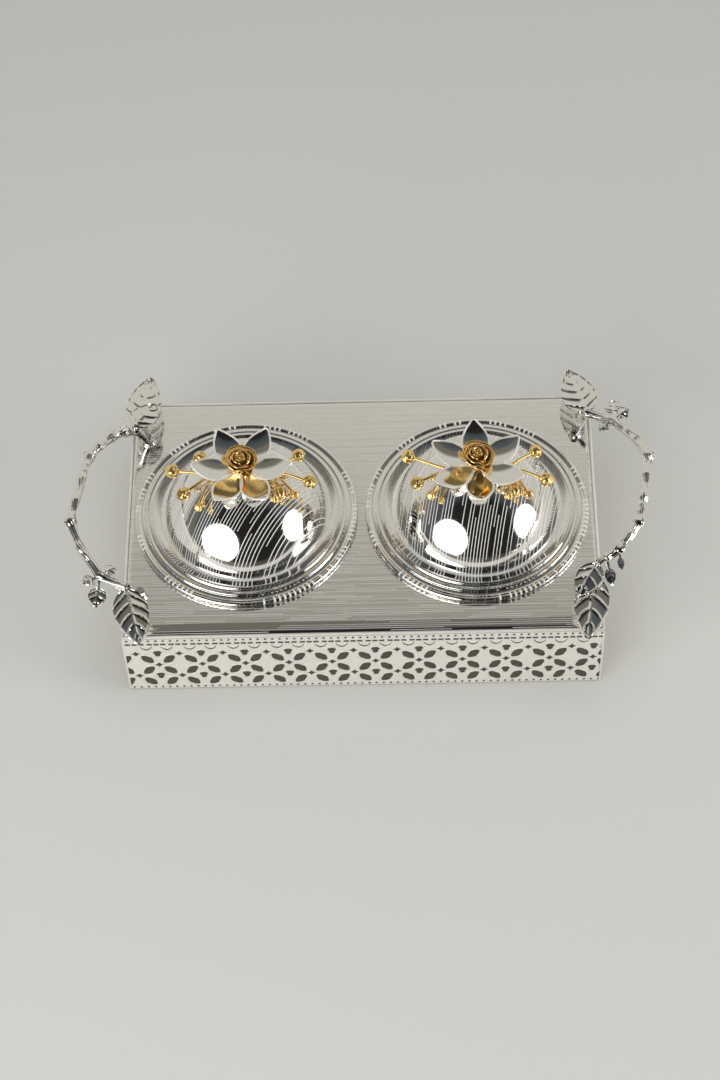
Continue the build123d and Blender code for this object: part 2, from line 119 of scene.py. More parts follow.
def spread(tree, value, start, end, low=0.0, high=1.0):
    """Maps a value that runs from start to end to low to high, and holds it there beyond both ends."""
    return wire(tree, "MapRange", value, start, end, low, high)


print("material helpers ready")

# %% [markdown]
# ## Places, colours and bumps
# Every pattern here is drawn in millimetres on the object's own coordinates, so it stays where it is when a
# body moves. Mixing two colours and bending the surface by a height are needed in nearly every finish, so
# each of them is a helper too.

# %% Pattern helpers
def object_spot(tree):
    """Object coordinates in metres."""
    return tree.nodes.new("ShaderNodeTexCoord").outputs["Object"]


def object_place(tree, turned=0.0):
    """Object coordinates in millimetres, turned about Z."""
    return wire(tree, "Mapping", object_spot(tree), None, (0, 0, turned), (1 / MM, 1 / MM, 1 / MM))


def split_xyz(tree, vector):
    """The X, Y and Z outputs of a vector."""
    return wire(tree, "SeparateXYZ", vector).node.outputs


def cloud(tree, place, scale, detail, roughness):
    """A noise texture with values around a half."""
    return wire(tree, "TexNoise", place, None, scale, detail, roughness)


def lot(tree, number):
    """A random value between 0 and 1 for each whole number."""
    return wire(tree, "TexWhiteNoise", None, number, noise_dimensions="1D")


def blend_colors(tree, factor, first, second):
    """Mixes two colours by a factor; each is an output or three numbers."""
    node = tree.nodes.new("ShaderNodeMix")
    node.data_type = "RGBA"
    tree.links.new(factor, node.inputs["Factor"])
    for place, color in ((6, first), (7, second)):
        feed_input(tree, node.inputs[place], (*color, 1) if isinstance(color, tuple) else color)
    return node.outputs[2]


def bend_surface(tree, normal_input, height, strength, distance):
    """Bends a surface by a height with a Bump node; distance is in mm."""
    bump = tree.nodes.new("ShaderNodeBump")
    bump.inputs["Strength"].default_value = strength
    bump.inputs["Distance"].default_value = distance * MM
    tree.links.new(height, bump.inputs["Height"])
    tree.links.new(bump.outputs[0], normal_input)
    return bump


print("pattern helpers ready")

# %% [markdown]
# ## Bright silver plate
# Silver plate is a mirror with a warm tint. Polishing leaves it very slightly wavy and hazy, so a fine
# noise moves its roughness and a second, broad one bends the surface by a hair. A plain mirror would look
# computed.

# %% Silver plate
SILVER = (0.93, 0.915, 0.885)
SILVER_SHADES = (0.9, 0.885, 0.85), (0.955, 0.945, 0.92)
HAZE_LOW, HAZE_HIGH = 0.035, 0.1
WAVE = 0.03


def silver_base(name):
    """Polished silver plate with a faint haze and waviness."""
    finish, tree, shader = new_finish(name, SILVER, 1.0, HAZE_LOW)
    place = object_place(tree)
    haze = cloud(tree, place, scale=0.35, detail=3.0, roughness=0.6)
    tree.links.new(spread(tree, haze, 0.0, 1.0, HAZE_LOW, HAZE_HIGH), shader.inputs["Roughness"])
    tree.links.new(blend_colors(tree, haze, *SILVER_SHADES), shader.inputs["Base Color"])
    swell = cloud(tree, place, scale=0.06, detail=2.0, roughness=0.5)
    bump = bend_surface(tree, shader.inputs["Normal"], swell, strength=WAVE, distance=1.0)
    return finish, tree, shader, bump, haze


bright_silver = silver_base("bright_silver")[0]
print("bright silver ready")

# %% [markdown]
# ## Etched lines
# The plate and the lids are scratched with straight parallel lines that start and stop at random. A wave
# texture would give endless stripes. Here the surface is cut into rows, each row into cells, and a white
# noise value per cell decides whether the line is there. The output is 1 on a line and 0 beside it.

# %% Broken parallel lines
ROW_SHIFT = 37.0  # a row's cells start up to this many cells further on, by lot
NARROW, WIDE = 0.4, 0.6  # half width of a line as a part of its stated width


def broken_lines(tree, turned, spacing, mark, share, width):
    """Factor of the lines; spacing, mark length and width are in mm, and share is the part that is cut."""
    along, across, _ = split_xyz(tree, object_place(tree, -turned))
    rows = sums(tree, "DIVIDE", across, spacing)
    row = sums(tree, "FLOOR", rows)
    luck = lot(tree, row)
    shift = sums(tree, "MULTIPLY", luck, ROW_SHIFT)
    cell = sums(tree, "FLOOR", sums(tree, "ADD", sums(tree, "DIVIDE", along, mark), shift))
    pick = wire(tree, "TexWhiteNoise", wire(tree, "CombineXYZ", row, cell, 0.0), noise_dimensions="2D")
    offset = sums(tree, "ABSOLUTE", sums(tree, "SUBTRACT", sums(tree, "FRACT", rows), 0.5))
    reach = spread(tree, luck, 0.0, 1.0, NARROW * width / spacing, WIDE * width / spacing)
    on_line = sums(tree, "LESS_THAN", offset, reach)
    return sums(tree, "MULTIPLY", on_line, sums(tree, "LESS_THAN", pick, share))


print("broken lines ready")

# %% [markdown]
# ## Cutting lines into silver
# A scratched line scatters light, so it looks white where the mirror beside it looks dark. Rougher, whiter,
# less metallic and slightly sunk are the four changes that show it, and one factor drives all of them.

# %% Lines in the silver
FROSTED = (1.0, 0.99, 0.965)
LINE_ROUGHNESS = 0.42
LINE_DEPTH = 2.0
BETWEEN_LINES = 0.04, 0.1  # roughness of the silver that is left between the lines


def cut_lines(finish_parts, line, frost):
    """Makes silver rougher, whiter and slightly sunk where line is 1: the etched lines, and on the lids also
    the painted sheen ring at the foot of the dome.
    """
    finish, tree, shader, bump, haze = finish_parts
    smooth = spread(tree, haze, 0.0, 1.0, *BETWEEN_LINES)
    rough = sums(tree, "ADD", smooth, sums(tree, "MULTIPLY", line, LINE_ROUGHNESS))
    tree.links.new(rough, shader.inputs["Roughness"])
    tree.links.new(blend_colors(tree, line, SILVER, FROSTED), shader.inputs["Base Color"])
    swell = bump.inputs["Height"].links[0].from_socket
    sunk = sums(tree, "SUBTRACT", swell, sums(tree, "MULTIPLY", line, LINE_DEPTH))
    tree.links.new(sunk, bump.inputs["Height"])
    metal = sums(tree, "SUBTRACT", 1.0, sums(tree, "MULTIPLY", line, frost))
    tree.links.new(metal, shader.inputs["Metallic"])
    return finish


print("line cutter ready")

# %% [markdown]
# ## The finish of the plate
# The plate's lines run from end to end. Between them lie finer streaks from polishing, drawn as a noise
# that is stretched along X. The sheet also sags by a hair just before its front edge, which is why the
# reflection darkens there. Both only bend the reflection, so a second bump is enough for them.

# %% Plate silver
STREAK_SCALE = (0.012, 0.55, 1.0)
STREAK_DEPTH = 0.035
SAG_START, SAG_END, SAG_DEPTH, SAG_CURVE = -73.5, -81.5, 0.85, 1.25

plate_parts = silver_base("etched_plate_silver")
tree, bump = plate_parts[1], plate_parts[3]
plate_lines = broken_lines(tree, 0.0, spacing=1.3, mark=34.0, share=0.62, width=0.3)
plate_silver = cut_lines(plate_parts, plate_lines, frost=0.35)
place = object_place(tree)
stretched = wire(tree, "Mapping", place, None, None, STREAK_SCALE)
streaks = sums(tree, "MULTIPLY", cloud(tree, stretched, scale=1.0, detail=4.0, roughness=0.7), STREAK_DEPTH)
sag = sums(tree, "POWER", spread(tree, split_xyz(tree, place)[1], SAG_START, SAG_END), SAG_CURVE)
height = sums(tree, "SUBTRACT", streaks, sums(tree, "MULTIPLY", sag, SAG_DEPTH))
bend_surface(tree, bump.inputs["Normal"], height, strength=1.0, distance=1.0)
print("plate silver ready")

# %% [markdown]
# ## Where a lid stands
# Patterns and meshes on a lid both need its axis. The measured lid is round, so the middle of its box is
# the axis, and the lowest point of its box is the lip that hangs into the bowl.

# %% Lid axes
LIP_H = 4.0


def axis_of(side):
    """Foot of a lid's axis at the height of its rim, in mm."""
    low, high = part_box(f"lid_{side}")
    return (low[0] + high[0]) / 2 / MM, (low[1] + high[1]) / 2 / MM, low[2] / MM + LIP_H


lid_axis = {side: axis_of(side) for side in ("left", "right")}
print("lid axes at", {side: [round(v, 2) for v in axis] for side, axis in lid_axis.items()})

# %% [markdown]
# ## The finish of the lids
# On a lid the lines cross the dome, nearly stop in the smooth cove, and come back as groups of short ticks
# on the rolled edge. So this finish needs the distance from the lid's axis: a Mapping node moves the axis
# to zero and flattens the height, and what is left is the radius. At the foot of the dome a ring is made
# paler, rougher and less metallic: a painted sheen that stands in for a bright reflected band.

# %% Lid silver
TICKS, TICK_GROUPS = 130.0, 26.0  # round the whole edge
GROUP_SHARE, TICK_SHARE, TICK_FILL = 0.62, 0.72, 0.4
EDGE_R, FOOT_R = 60.7, 48.0
DOME_LINES_END, COVE_LINES_START, COVE_LINES = 47.8, 49.5, 0.22
# The ring at the foot of the dome is painted sheen: its half width and fade in mm, and how strongly it
# whitens.
SHEEN_RING_HALF, SHEEN_RING_FADE, FOOT_PAINTED_SHEEN = 0.5, 1.2, 0.6
LINES_TURNED = {"left": radians(53), "right": radians(77)}


def edge_ticks(tree, flat, radius):
    """Factor of the short ticks on the rolled edge: some groups are left out, and some ticks in a group."""
    x, y, _ = split_xyz(tree, flat)
    turns = sums(tree, "DIVIDE", sums(tree, "ARCTAN2", y, x), 2 * pi)
    steps = sums(tree, "MULTIPLY", turns, TICKS)
    groups = sums(tree, "FLOOR", sums(tree, "MULTIPLY", turns, TICK_GROUPS))
    group_cut = sums(tree, "LESS_THAN", lot(tree, groups), GROUP_SHARE)
    tick_cut = sums(tree, "LESS_THAN", lot(tree, sums(tree, "FLOOR", steps)), TICK_SHARE)
    tick = sums(tree, "LESS_THAN", sums(tree, "FRACT", steps), TICK_FILL)
    cut = sums(tree, "MULTIPLY", tick, sums(tree, "MULTIPLY", group_cut, tick_cut))
    return sums(tree, "MULTIPLY", cut, sums(tree, "GREATER_THAN", radius, EDGE_R))


def lid_finish(side):
    """Etched silver for one lid, with a painted sheen ring at the foot of the dome."""
    parts = silver_base(f"etched_lid_silver_{side}")
    tree = parts[1]
    x, y, _ = lid_axis[side]
    flat = wire(tree, "Mapping", object_spot(tree), (-x, -y, 0.0), None, (1 / MM, 1 / MM, 0.0))
    radius = wire(tree, "VectorMath", flat, operation="LENGTH", out=1)
    ticks = edge_ticks(tree, flat, radius)
    dome = spread(tree, radius, DOME_LINES_END, COVE_LINES_START, 1.0, COVE_LINES)
    lines = broken_lines(tree, LINES_TURNED[side], spacing=1.75, mark=32.0, share=0.72, width=0.4)
    lines = sums(tree, "MULTIPLY", lines, dome)
    # Painted sheen: a paler, less metallic ring at the foot of the dome stands in for a bright reflected
    # band.
    from_foot = sums(tree, "ABSOLUTE", sums(tree, "SUBTRACT", radius, FOOT_R))
    foot = spread(tree, from_foot, SHEEN_RING_HALF, SHEEN_RING_FADE, FOOT_PAINTED_SHEEN, 0.0)
    return cut_lines(parts, sums(tree, "MAXIMUM", sums(tree, "MAXIMUM", lines, foot), ticks), frost=0.7)


lid_silver = {side: lid_finish(side) for side in lid_axis}
print("lid silver ready")

# %% [markdown]
# ## Gold
# The rose and the berries are gold-plated castings, a little uneven in colour and gloss. One fine noise
# moves roughness, colour and height together, so the three agree as they do on metal.

# %% Rose gold plate
GOLD = (1.0, 0.66, 0.24)
GOLD_SHADES = (1.0, 0.63, 0.19), (1.0, 0.78, 0.37)
GOLD_ROUGHNESS = 0.1, 0.26

gold, tree, shader = new_finish("rose_gold_plate", GOLD, metallic=0.9, roughness=GOLD_ROUGHNESS[0])
grain = cloud(tree, object_place(tree), scale=1.6, detail=4.0, roughness=0.6)
tree.links.new(spread(tree, grain, 0.0, 1.0, *GOLD_ROUGHNESS), shader.inputs["Roughness"])
tree.links.new(blend_colors(tree, grain, *GOLD_SHADES), shader.inputs["Base Color"])
bend_surface(tree, shader.inputs["Normal"], grain, strength=0.08, distance=0.2)
print("gold ready")

# %% [markdown]
# ## The dull finishes
# The boards behind the pierced sides are dark and dull, and felt lies under the floor. Screws and nuts are
# plain steel, and the pierced sheet is a pale, satin silver. They differ only in colour, gloss and size of
# grain, so one function makes all four.

# %% Board, felt, steel and satin silver
def mottled(name, dark, light, metallic, roughness, scale, strength):
    """A dull finish with a fine mottle in colour and height."""
    finish, tree, shader = new_finish(name, dark, metallic, roughness)
    mottle = cloud(tree, object_place(tree), scale, detail=5.0, roughness=0.65)
    tree.links.new(blend_colors(tree, mottle, dark, light), shader.inputs["Base Color"])
    bend_surface(tree, shader.inputs["Normal"], mottle, strength, distance=0.3)
    return finish


dark_board = mottled(
    "dark_board", (0.065, 0.055, 0.042), (0.11, 0.094, 0.072),
    metallic=0.0, roughness=0.75, scale=0.4, strength=0.2,
)
felt = mottled(
    "base_felt", (0.02, 0.02, 0.022), (0.06, 0.06, 0.065),
    metallic=0.0, roughness=0.95, scale=3.0, strength=0.6,
)
steel = mottled(
    "fastener_steel", (0.45, 0.45, 0.46), (0.62, 0.62, 0.63),
    metallic=1.0, roughness=0.32, scale=0.8, strength=0.1,
)
lace_silver = mottled(
    "pierced_sheet_silver", (0.88, 0.865, 0.805), (0.945, 0.93, 0.88),
    metallic=0.35, roughness=0.34, scale=0.15, strength=0.05,
)
print("board, felt, steel and satin silver ready")

# %% [markdown]
# ## Finishing a piece
# Every piece ends the same way: doubles are merged, faces are turned outwards, the mesh becomes an object,
# and that object is tied to the body that carries it. Sharp corners stay sharp by angle, so the rest can be
# smooth.

# %% Finish a piece
def finish_piece(name, bm, finish, body, stands_for=(), sharp=40.0, recalc=True):
    """Turns a bmesh into a finished object that rides on a body."""
    if recalc:
        bmesh.ops.remove_doubles(bm, verts=bm.verts, dist=1e-6)
        bmesh.ops.recalc_face_normals(bm, faces=bm.faces)
    mesh = bpy.data.meshes.new(name)
    bm.to_mesh(mesh)
    bm.free()
    mesh.shade_smooth()
    mesh.set_sharp_from_angle(angle=radians(sharp))
    piece = bpy.data.objects.new(name, mesh)
    bpy.context.scene.collection.objects.link(piece)
    mesh.materials.append(finish)
    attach(piece, body)
    if stands_for:
        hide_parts(*stands_for)
    print(name, len(mesh.polygons), "faces")


def only(kind, parts):
    """The parts of one kind, such as the vertices that an operator made."""
    return [part for part in parts if isinstance(part, kind)]


print("piece helpers ready")

# %% [markdown]
# ## Rods
# Stems, vines, stalks, ribs and rims are all round rods whose thickness changes along the way. A curve with
# a bevel makes such a rod from a few points and a radius at each, and its mesh is then taken into the
# piece.

# %% Round rods
def add_rods(bm, rods, sides=8, smooth_steps=5):
    """Adds round rods to a bmesh. Each rod is a list of (point, radius) in mm, joined by a smooth curve."""
    wirework = bpy.data.curves.new("rods", "CURVE")
    wirework.dimensions = "3D"
    wirework.bevel_depth = MM
    wirework.bevel_resolution = max(0, sides // 2 - 2)
    wirework.resolution_u = smooth_steps
    wirework.use_fill_caps = True
    for rod in rods:
        spline = wirework.splines.new("BEZIER")
        spline.bezier_points.add(len(rod) - 1)
        for knot, (point, radius) in zip(spline.bezier_points, rod):
            knot.co = Vector(point) * MM
            knot.radius = radius
            knot.handle_left_type = knot.handle_right_type = "AUTO"
    carrier = bpy.data.objects.new("rods", wirework)
    mesh = bpy.data.meshes.new_from_object(carrier)
    bm.from_mesh(mesh)
    bpy.data.objects.remove(carrier)
    bpy.data.curves.remove(wirework)
    bpy.data.meshes.remove(mesh)


print("rod helper ready")

# %% [markdown]
# ## Shaped sheets
# Petals and leaves are thin sheets with a curved face. A grid is laid out by a formula and then extruded.
# The new face is pushed back along the normals of the first one, so the thickness is even wherever the
# sheet bends.

# %% Shaped sheets
def add_sheet(bm, steps_along, steps_across, shape, thickness):
    """Lays a grid out by shape(along 0..1, across -1..1), in mm, and extrudes it to its thickness."""
    grid = bmesh.ops.create_grid(bm, x_segments=steps_along, y_segments=steps_across, size=1)["verts"]
    faces = list({face for vert in grid for face in vert.link_faces})
    for vert in grid:
        vert.co = Vector(shape(vert.co.x / 2 + 0.5, vert.co.y)) * MM
    for face in faces:
        face.normal_update()
    for vert in grid:
        vert.normal_update()
    ways = {vert.co.to_tuple(): vert.normal.copy() for vert in grid}
    pulled = only(BMVert, bmesh.ops.extrude_face_region(bm, geom=faces)["geom"])
    for vert in pulled:
        vert.co -= ways[vert.co.to_tuple()] * thickness * MM
    skin = {face for vert in pulled for face in vert.link_faces} | set(faces)
    bmesh.ops.recalc_face_normals(bm, faces=[face for face in skin if face.is_valid])


print("sheet helper ready")

# %% [markdown]
# ## The openings of the gallery
# The sides are thin plated sheet, pierced with slanted lozenges, little stars and mushroom-shaped openings,
# with pinholes and dashes along the edges. Each outline is drawn once, at a half size of 1, and then
# scaled.

# %% Outlines of the openings
LOZENGE = [
    (-1, 0), (-0.8, 0.45), (-0.55, 0.72), (-0.15, 0.9), (0.1, 1.08), (0.5, 0.86), (0.8, 0.5),
    (1, 0), (0.8, -0.45), (0.55, -0.72), (0.15, -0.9), (-0.1, -1.08), (-0.5, -0.86), (-0.8, -0.5),
]
MUSHROOM = [
    (-1, 0.2), (-0.92, 0.6), (-0.6, 0.92), (0, 1), (0.6, 0.92), (0.92, 0.6), (1, 0.2),
    (0.62, -0.2), (0.6, -0.7), (0.3, -1), (-0.3, -1), (-0.6, -0.7), (-0.62, -0.2),
]
STAR = [(-1, 0), (-0.4, -0.42), (0, -1), (0.4, -0.42), (1, 0), (0.4, 0.42), (0, 1), (-0.4, 0.42)]
EIGHT_SIDED = [(-1, 0), (-0.7, -0.7), (0, -1), (0.7, -0.7), (1, 0), (0.7, 0.7), (0, 1), (-0.7, 0.7)]
OBLONG = [(-1, -1), (1, -1), (1, 1), (-1, 1)]
LOZENGE_HALF_L, LOZENGE_HALF_W = 4.9, 2.85
SQUEEZE_ALONG, SQUEEZE_UP = 0.65, 0.8


def leaning(lean):
    """Slanted lozenge in mm: lean 1 rises to the right, lean -1 to the left."""
    slanted = []
    for a, b in LOZENGE:
        along = a * LOZENGE_HALF_L - b * LOZENGE_HALF_W * lean
        up = a * LOZENGE_HALF_L * lean + b * LOZENGE_HALF_W
        slanted.append((along * SQUEEZE_ALONG, up * SQUEEZE_UP))
    return slanted


def scaled(outline, wide, high):
    """An outline scaled to half sizes in mm."""
    return [(a * wide, b * high) for a, b in outline]


small_star = scaled(STAR, 2.8, 2.6)
mushroom = scaled(MUSHROOM, 2.5, 3.1)
pinhole = scaled(EIGHT_SIDED, 0.8, 1.05)
dash = scaled(OBLONG, 1.5, 0.95)
print("outlines drawn: lozenge, mushroom, star, pinhole and dash")

# %% [markdown]
# ## The rows of the pattern
# The openings stand in rows, and each row repeats along the side. A row is a list of outlines with a shift,
# as a part of one repeat, so a whole side follows from a few lines.

# %% Rows of openings
REPEAT = 24  # length of one repeat in mm, before it is fitted to the side
PHASE = 0.776
FIRST_ROW_Z, ROW_STEP = 8.1, 5.8
LOW_PINS_Z, DASHES_Z, HIGH_PINS_Z = 1.6, 46.7, 50.2
DASH_STEP = 0.155
PINS_A_REPEAT = 6

low_pair = [(leaning(-1), -0.25), (leaning(1), 0.25)]
high_pair = [(leaning(1), -0.25), (leaning(-1), 0.25)]
rounds = [(mushroom, 0.0), (small_star, 0.5)]
rows = [low_pair, rounds, high_pair, [(small_star, 0.0)], low_pair, rounds]
LACE_ROWS = [(FIRST_ROW_Z + ROW_STEP * n, row) for n, row in enumerate(rows)]
DASHES = [(dash, shift + step * DASH_STEP) for shift in (0.0, 0.5) for step in (-1, 0, 1)]
PINS = [(pinhole, n / PINS_A_REPEAT) for n in range(PINS_A_REPEAT)]
SMALL_ROWS = [(LOW_PINS_Z, PINS), (DASHES_Z, DASHES), (HIGH_PINS_Z, PINS)]
print("rows of openings:", len(LACE_ROWS) + len(SMALL_ROWS))

# %% [markdown]
# ## Laying the pattern out
# Whole repeats have to fit each side, so the repeat is stretched a little to divide the length. An opening
# that runs past the end of the sheet is cut off there, and left out when only a sliver of it remains.
# Between the upper openings hang garlands of double arcs.

# %% Lay out one side
END_MARGIN = 1.0
LEAST_PRESSED, LEAST_SMALL = 1.4, 0.9  # narrower remains are left out
ARC_STEPS = 8
ARC_START, ARC_REACH = 0.11, 0.26  # as parts of a repeat, from the middle of a mushroom
ARC_Z, ARC_DROP = 40.7, 2.9


def repeats_of(length):
    """Number of repeats on a side, and the length of each in mm."""
    repeats = round(length / REPEAT)
    return repeats, length / repeats


def openings_of(length, rows, least):
    """Outlines of all openings in some rows of one side."""
    repeats, pitch = repeats_of(length)
    limit = length / 2 - END_MARGIN
    found = []
    for height, row in rows:
        for outline, shift in row:
            for n in range(-1, repeats + 2):
                centre = -length / 2 + (n + PHASE + shift) * pitch
                points = [(min(max(centre + u, -limit), limit), height + v) for u, v in outline]
                points = [point for k, point in enumerate(points) if point != points[k - 1]]
                if max(u for u, v in points) - min(u for u, v in points) > least:
                    found.append(points)
    return found


def garlands_of(length):
    """Middle lines of the hanging arcs on both sides of each upper mushroom."""
    repeats, pitch = repeats_of(length)
    limit = length / 2 - END_MARGIN - 0.5
    arcs = []
    for n in range(-1, repeats + 1):
        for side in (-1, 1):
            centre = -length / 2 + (n + PHASE) * pitch
            arc = []
            for k in range(ARC_STEPS + 1):
                t = k / ARC_STEPS
                along = centre + side * (ARC_START + ARC_REACH * t) * pitch
                arc.append((along, ARC_Z + ARC_DROP * (2 * t - 1) ** 2))
            if all(abs(u) < limit for u, v in arc):
                arcs.append(arc)
    return arcs


BOX_L, BOX_W = 270.0, 165.0
print("openings on the front:", len(openings_of(BOX_L, LACE_ROWS, LEAST_PRESSED)))

# %% [markdown]
# ## Cutting the sheet
# A Boolean for each of four hundred holes would be slow and leave poor faces. Instead the sheet's edge and
# all outlines are drawn as edge loops and filled in one go, and the result is pulled out to its thickness.

# %% Cut one sheet
LACE_H, LACE_T = 52.6, 0.25
# Width of the cuts along the garlands, through which the dark board shows as painted shadow lines.
SHADOW_SLIT_H = 1.5


def loop_of(bm, points):
    """Draws a closed loop of edges in the XZ plane."""
    corners = [bm.verts.new((u * MM, 0, v * MM)) for u, v in points]
    return [bm.edges.new((corners[n - 1], corners[n])) for n in range(len(corners))]


def cut_sheet(length, pressed, small, arcs):
    """The sheet of one side, drawn flat, with its openings and the narrow cuts along the garlands, which
    show the dark board as painted shadow lines.
    """
    sheet = bmesh.new()
    half = length / 2
    loop_of(sheet, [(-half, 0), (half, 0), (half, LACE_H), (-half, LACE_H)])
    # Narrow cuts along the garlands let the dark board show through as painted shadow lines beside the
    # embossed ribs.
    shadow_slits = [arc + [(u, v + SHADOW_SLIT_H) for u, v in reversed(arc)] for arc in arcs]
    for points in pressed + small + shadow_slits:
        loop_of(sheet, points)
    bmesh.ops.triangle_fill(sheet, use_beauty=True, use_dissolve=False, edges=sheet.edges[:])
    pulled = bmesh.ops.extrude_face_region(sheet, geom=sheet.faces[:])["geom"]
    bmesh.ops.translate(sheet, verts=only(BMVert, pulled), vec=(0, LACE_T * MM, 0))
    return sheet


print("sheet cutter ready")

# %% [markdown]
# ## Lips, garlands and beads
# Each opening has a pressed lip. It starts as the same outline: its edges are extruded three times,
# outwards and up, over, and down again. Thin ribs edge the garlands, and a rolled bar with a row of beads
# ends the sheet at the top. They are small and repeat hundreds of times, so each has few faces.

# %% Trim of one side
LIP_STEPS = (0.15, -0.2), (0.3, 0.0), (0.2, 0.22)  # outwards, and into the sheet
RIB_LIFTS = -0.5, 1.9
RIB_R, RIB_END_R, RIB_OUT = 0.3, 0.1, -0.05
BAR_R, BAR_IN, BAR_END, BAR_RISE = 0.8, 0.78, 0.5, 0.3
CAP_W, CAP_T, CAP_DROP = 0.84, 0.5, 0.2
BEAD_PITCH, BEAD_R, BEAD_IN, BEAD_RISE = 2.04, 0.62, 0.35, 0.05


def add_lip(bm, points):
    """A low ridge round an opening."""
    middle = Vector((sum(u for u, v in points), 0, sum(v for u, v in points))) / len(points) * MM
    ring = loop_of(bm, points)
    for grow, sink in LIP_STEPS:
        pulled = bmesh.ops.extrude_edge_only(bm, edges=ring)["geom"]
        ring = only(BMEdge, pulled)
        for vert in only(BMVert, pulled):
            away = Vector((vert.co.x, 0, vert.co.z)) - middle
            vert.co += away.normalized() * grow * MM + Vector((0, sink * MM, 0))


def add_beads(bm, length):
    """The row of beads along the top edge."""
    count = int(length / BEAD_PITCH)
    for n in range(count):
        bead = bmesh.ops.create_icosphere(bm, subdivisions=1, radius=BEAD_R * MM)
        spot = ((-length / 2 + (n + 0.5) * length / count) * MM, BEAD_IN * MM, (LACE_H + BEAD_RISE) * MM)
        bmesh.ops.translate(bm, verts=bead["verts"], vec=spot)


def side_trim(length, pressed, arcs):
    """Everything that stands out from the sheet of one side, drawn flat."""
    trim = bmesh.new()
    for points in pressed:
        add_lip(trim, points)
    ribs = []
    for arc in arcs:
        radii = [RIB_END_R] + [RIB_R] * (len(arc) - 2) + [RIB_END_R]
        for lift in RIB_LIFTS:
            ribs.append([((u, RIB_OUT, v + lift), radius) for (u, v), radius in zip(arc, radii)])
    end = length / 2 - BAR_END
    ribs.append([((x, BAR_IN, LACE_H + BAR_RISE), BAR_R) for x in (-end, end)])
    add_rods(trim, ribs, sides=6, smooth_steps=1)
    size = Matrix.Diagonal((*(Vector((length, CAP_W, CAP_T)) * MM), 1))
    middle = Matrix.Translation(Vector((0, CAP_W / 2, LACE_H - CAP_DROP)) * MM)
    bmesh.ops.create_cube(trim, size=1, matrix=middle @ size)
    add_beads(trim, length)
    return trim


print("trim helpers ready")

# %% [markdown]
# ## The four sides and the boards behind them
# Each side is drawn flat and then turned into place, so front, back and ends share everything above. Behind
# each stands a dark board. The measured board stays as it is, and a thin facing right behind the sheet
# closes the view into the gap.

# %% The gallery and its boards
LIFT = 0.6
FACING_GAP, FACING_T, FACING_H, FACING_Z, FACING_SHORT = 0.15, 0.2, 51.4, 26.2, 2.4
END_SHORT = 1.6  # the end sheets stand between the front and the back
SIDES = {
    "front": (BOX_L, (0, -BOX_W / 2), 0),
    "back": (BOX_L, (0, BOX_W / 2), 180),
    "left": (BOX_W - END_SHORT, (-BOX_L / 2, 0), -90),
    "right": (BOX_W - END_SHORT, (BOX_L / 2, 0), 90),
}


def board_behind(name, length, place):
    """The dark board of one side, with its facing."""
    low, high = (Vector(corner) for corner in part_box(f"liner_{name}"))
    bm = bmesh.new()
    middle = Matrix.Translation((low + high) / 2)
    bmesh.ops.create_cube(bm, size=1, matrix=middle @ Matrix.Diagonal((*(high - low), 1)))
    facing = Matrix.Translation(Vector((0, LACE_T + FACING_GAP, FACING_Z)) * MM)
    size = Matrix.Diagonal((*(Vector((length - FACING_SHORT, FACING_T, FACING_H)) * MM), 1))
    bmesh.ops.create_cube(bm, size=1, matrix=place @ facing @ size)
    finish_piece(f"board_{name}", bm, dark_board, "box", [f"liner_{name}"], recalc=False)


for name, (length, spot, turned) in SIDES.items():
    place = Matrix.Translation(Vector((*spot, LIFT)) * MM) @ Matrix.Rotation(radians(turned), 4, "Z")
    pressed = openings_of(length, LACE_ROWS, LEAST_PRESSED)
    arcs = garlands_of(length)
    sheet = cut_sheet(length, pressed, openings_of(length, SMALL_ROWS, LEAST_SMALL), arcs)
    bmesh.ops.transform(sheet, matrix=place, verts=sheet.verts)
    finish_piece(f"lace_{name}", sheet, lace_silver, "box", [f"gallery_{name}"], sharp=30)
    trim = side_trim(length, pressed, arcs)
    bmesh.ops.transform(trim, matrix=place, verts=trim.verts)
    finish_piece(f"lace_trim_{name}", trim, lace_silver, "box", sharp=80, recalc=False)
    board_behind(name, length, place)

# %% [markdown]
# ## The outline of a lid
# A lid is one sheet, spun on a lathe: a rolled edge, two small steps, a shallow cove, a dome and a flat
# boss for the knob. The dome is part of a ball, so an arc gives it, outside and inside. Under the rim a
# short lip hangs into the bowl.

# %% Lid outline
ROLLED_EDGE = [
    (63.4, 0.0), (63.85, 0.4), (64.0, 1.0), (63.9, 1.6), (63.55, 2.1), (62.95, 2.42), (62.25, 2.45),
    (61.6, 2.25), (61.1, 1.9), (60.8, 1.75),
]
OUTER_STEP = [
    (58.5, 1.95), (58.25, 2.2), (58.15, 2.9), (57.9, 3.35), (57.4, 3.55), (56.9, 3.5), (56.6, 3.35),
]
INNER_STEP = [
    (55.0, 3.4), (54.75, 3.6), (54.65, 4.2), (54.4, 4.65), (53.95, 4.85), (53.45, 4.8), (53.1, 4.62),
]
COVE_START_R, COVE_START_Z, COVE_W, COVE_STEPS = 52.9, 4.45, 5.4, 9
COVE_DEPTH, COVE_RISE = 1.2, 0.35
BALL_R, BALL_Z, WALL = 48.54, -7.84, 1.0
DOME_FOOT_R, DOME_TOP_R = 47.1, 7.4
INSIDE_TOP_R, INSIDE_FOOT_R = 2.4, 46.0
BORE_R, BOSS_Z, BOSS_UNDER_Z = 2.2, 41.2, 39.6
BOSS = [(7.1, 41.0), (6.9, BOSS_Z), (BORE_R, BOSS_Z), (BORE_R, BOSS_UNDER_Z)]
LIP = [(47.2, 1.4), (53.6, 1.3), (53.6, -3.9), (54.6, -3.9), (54.6, 0.0)]


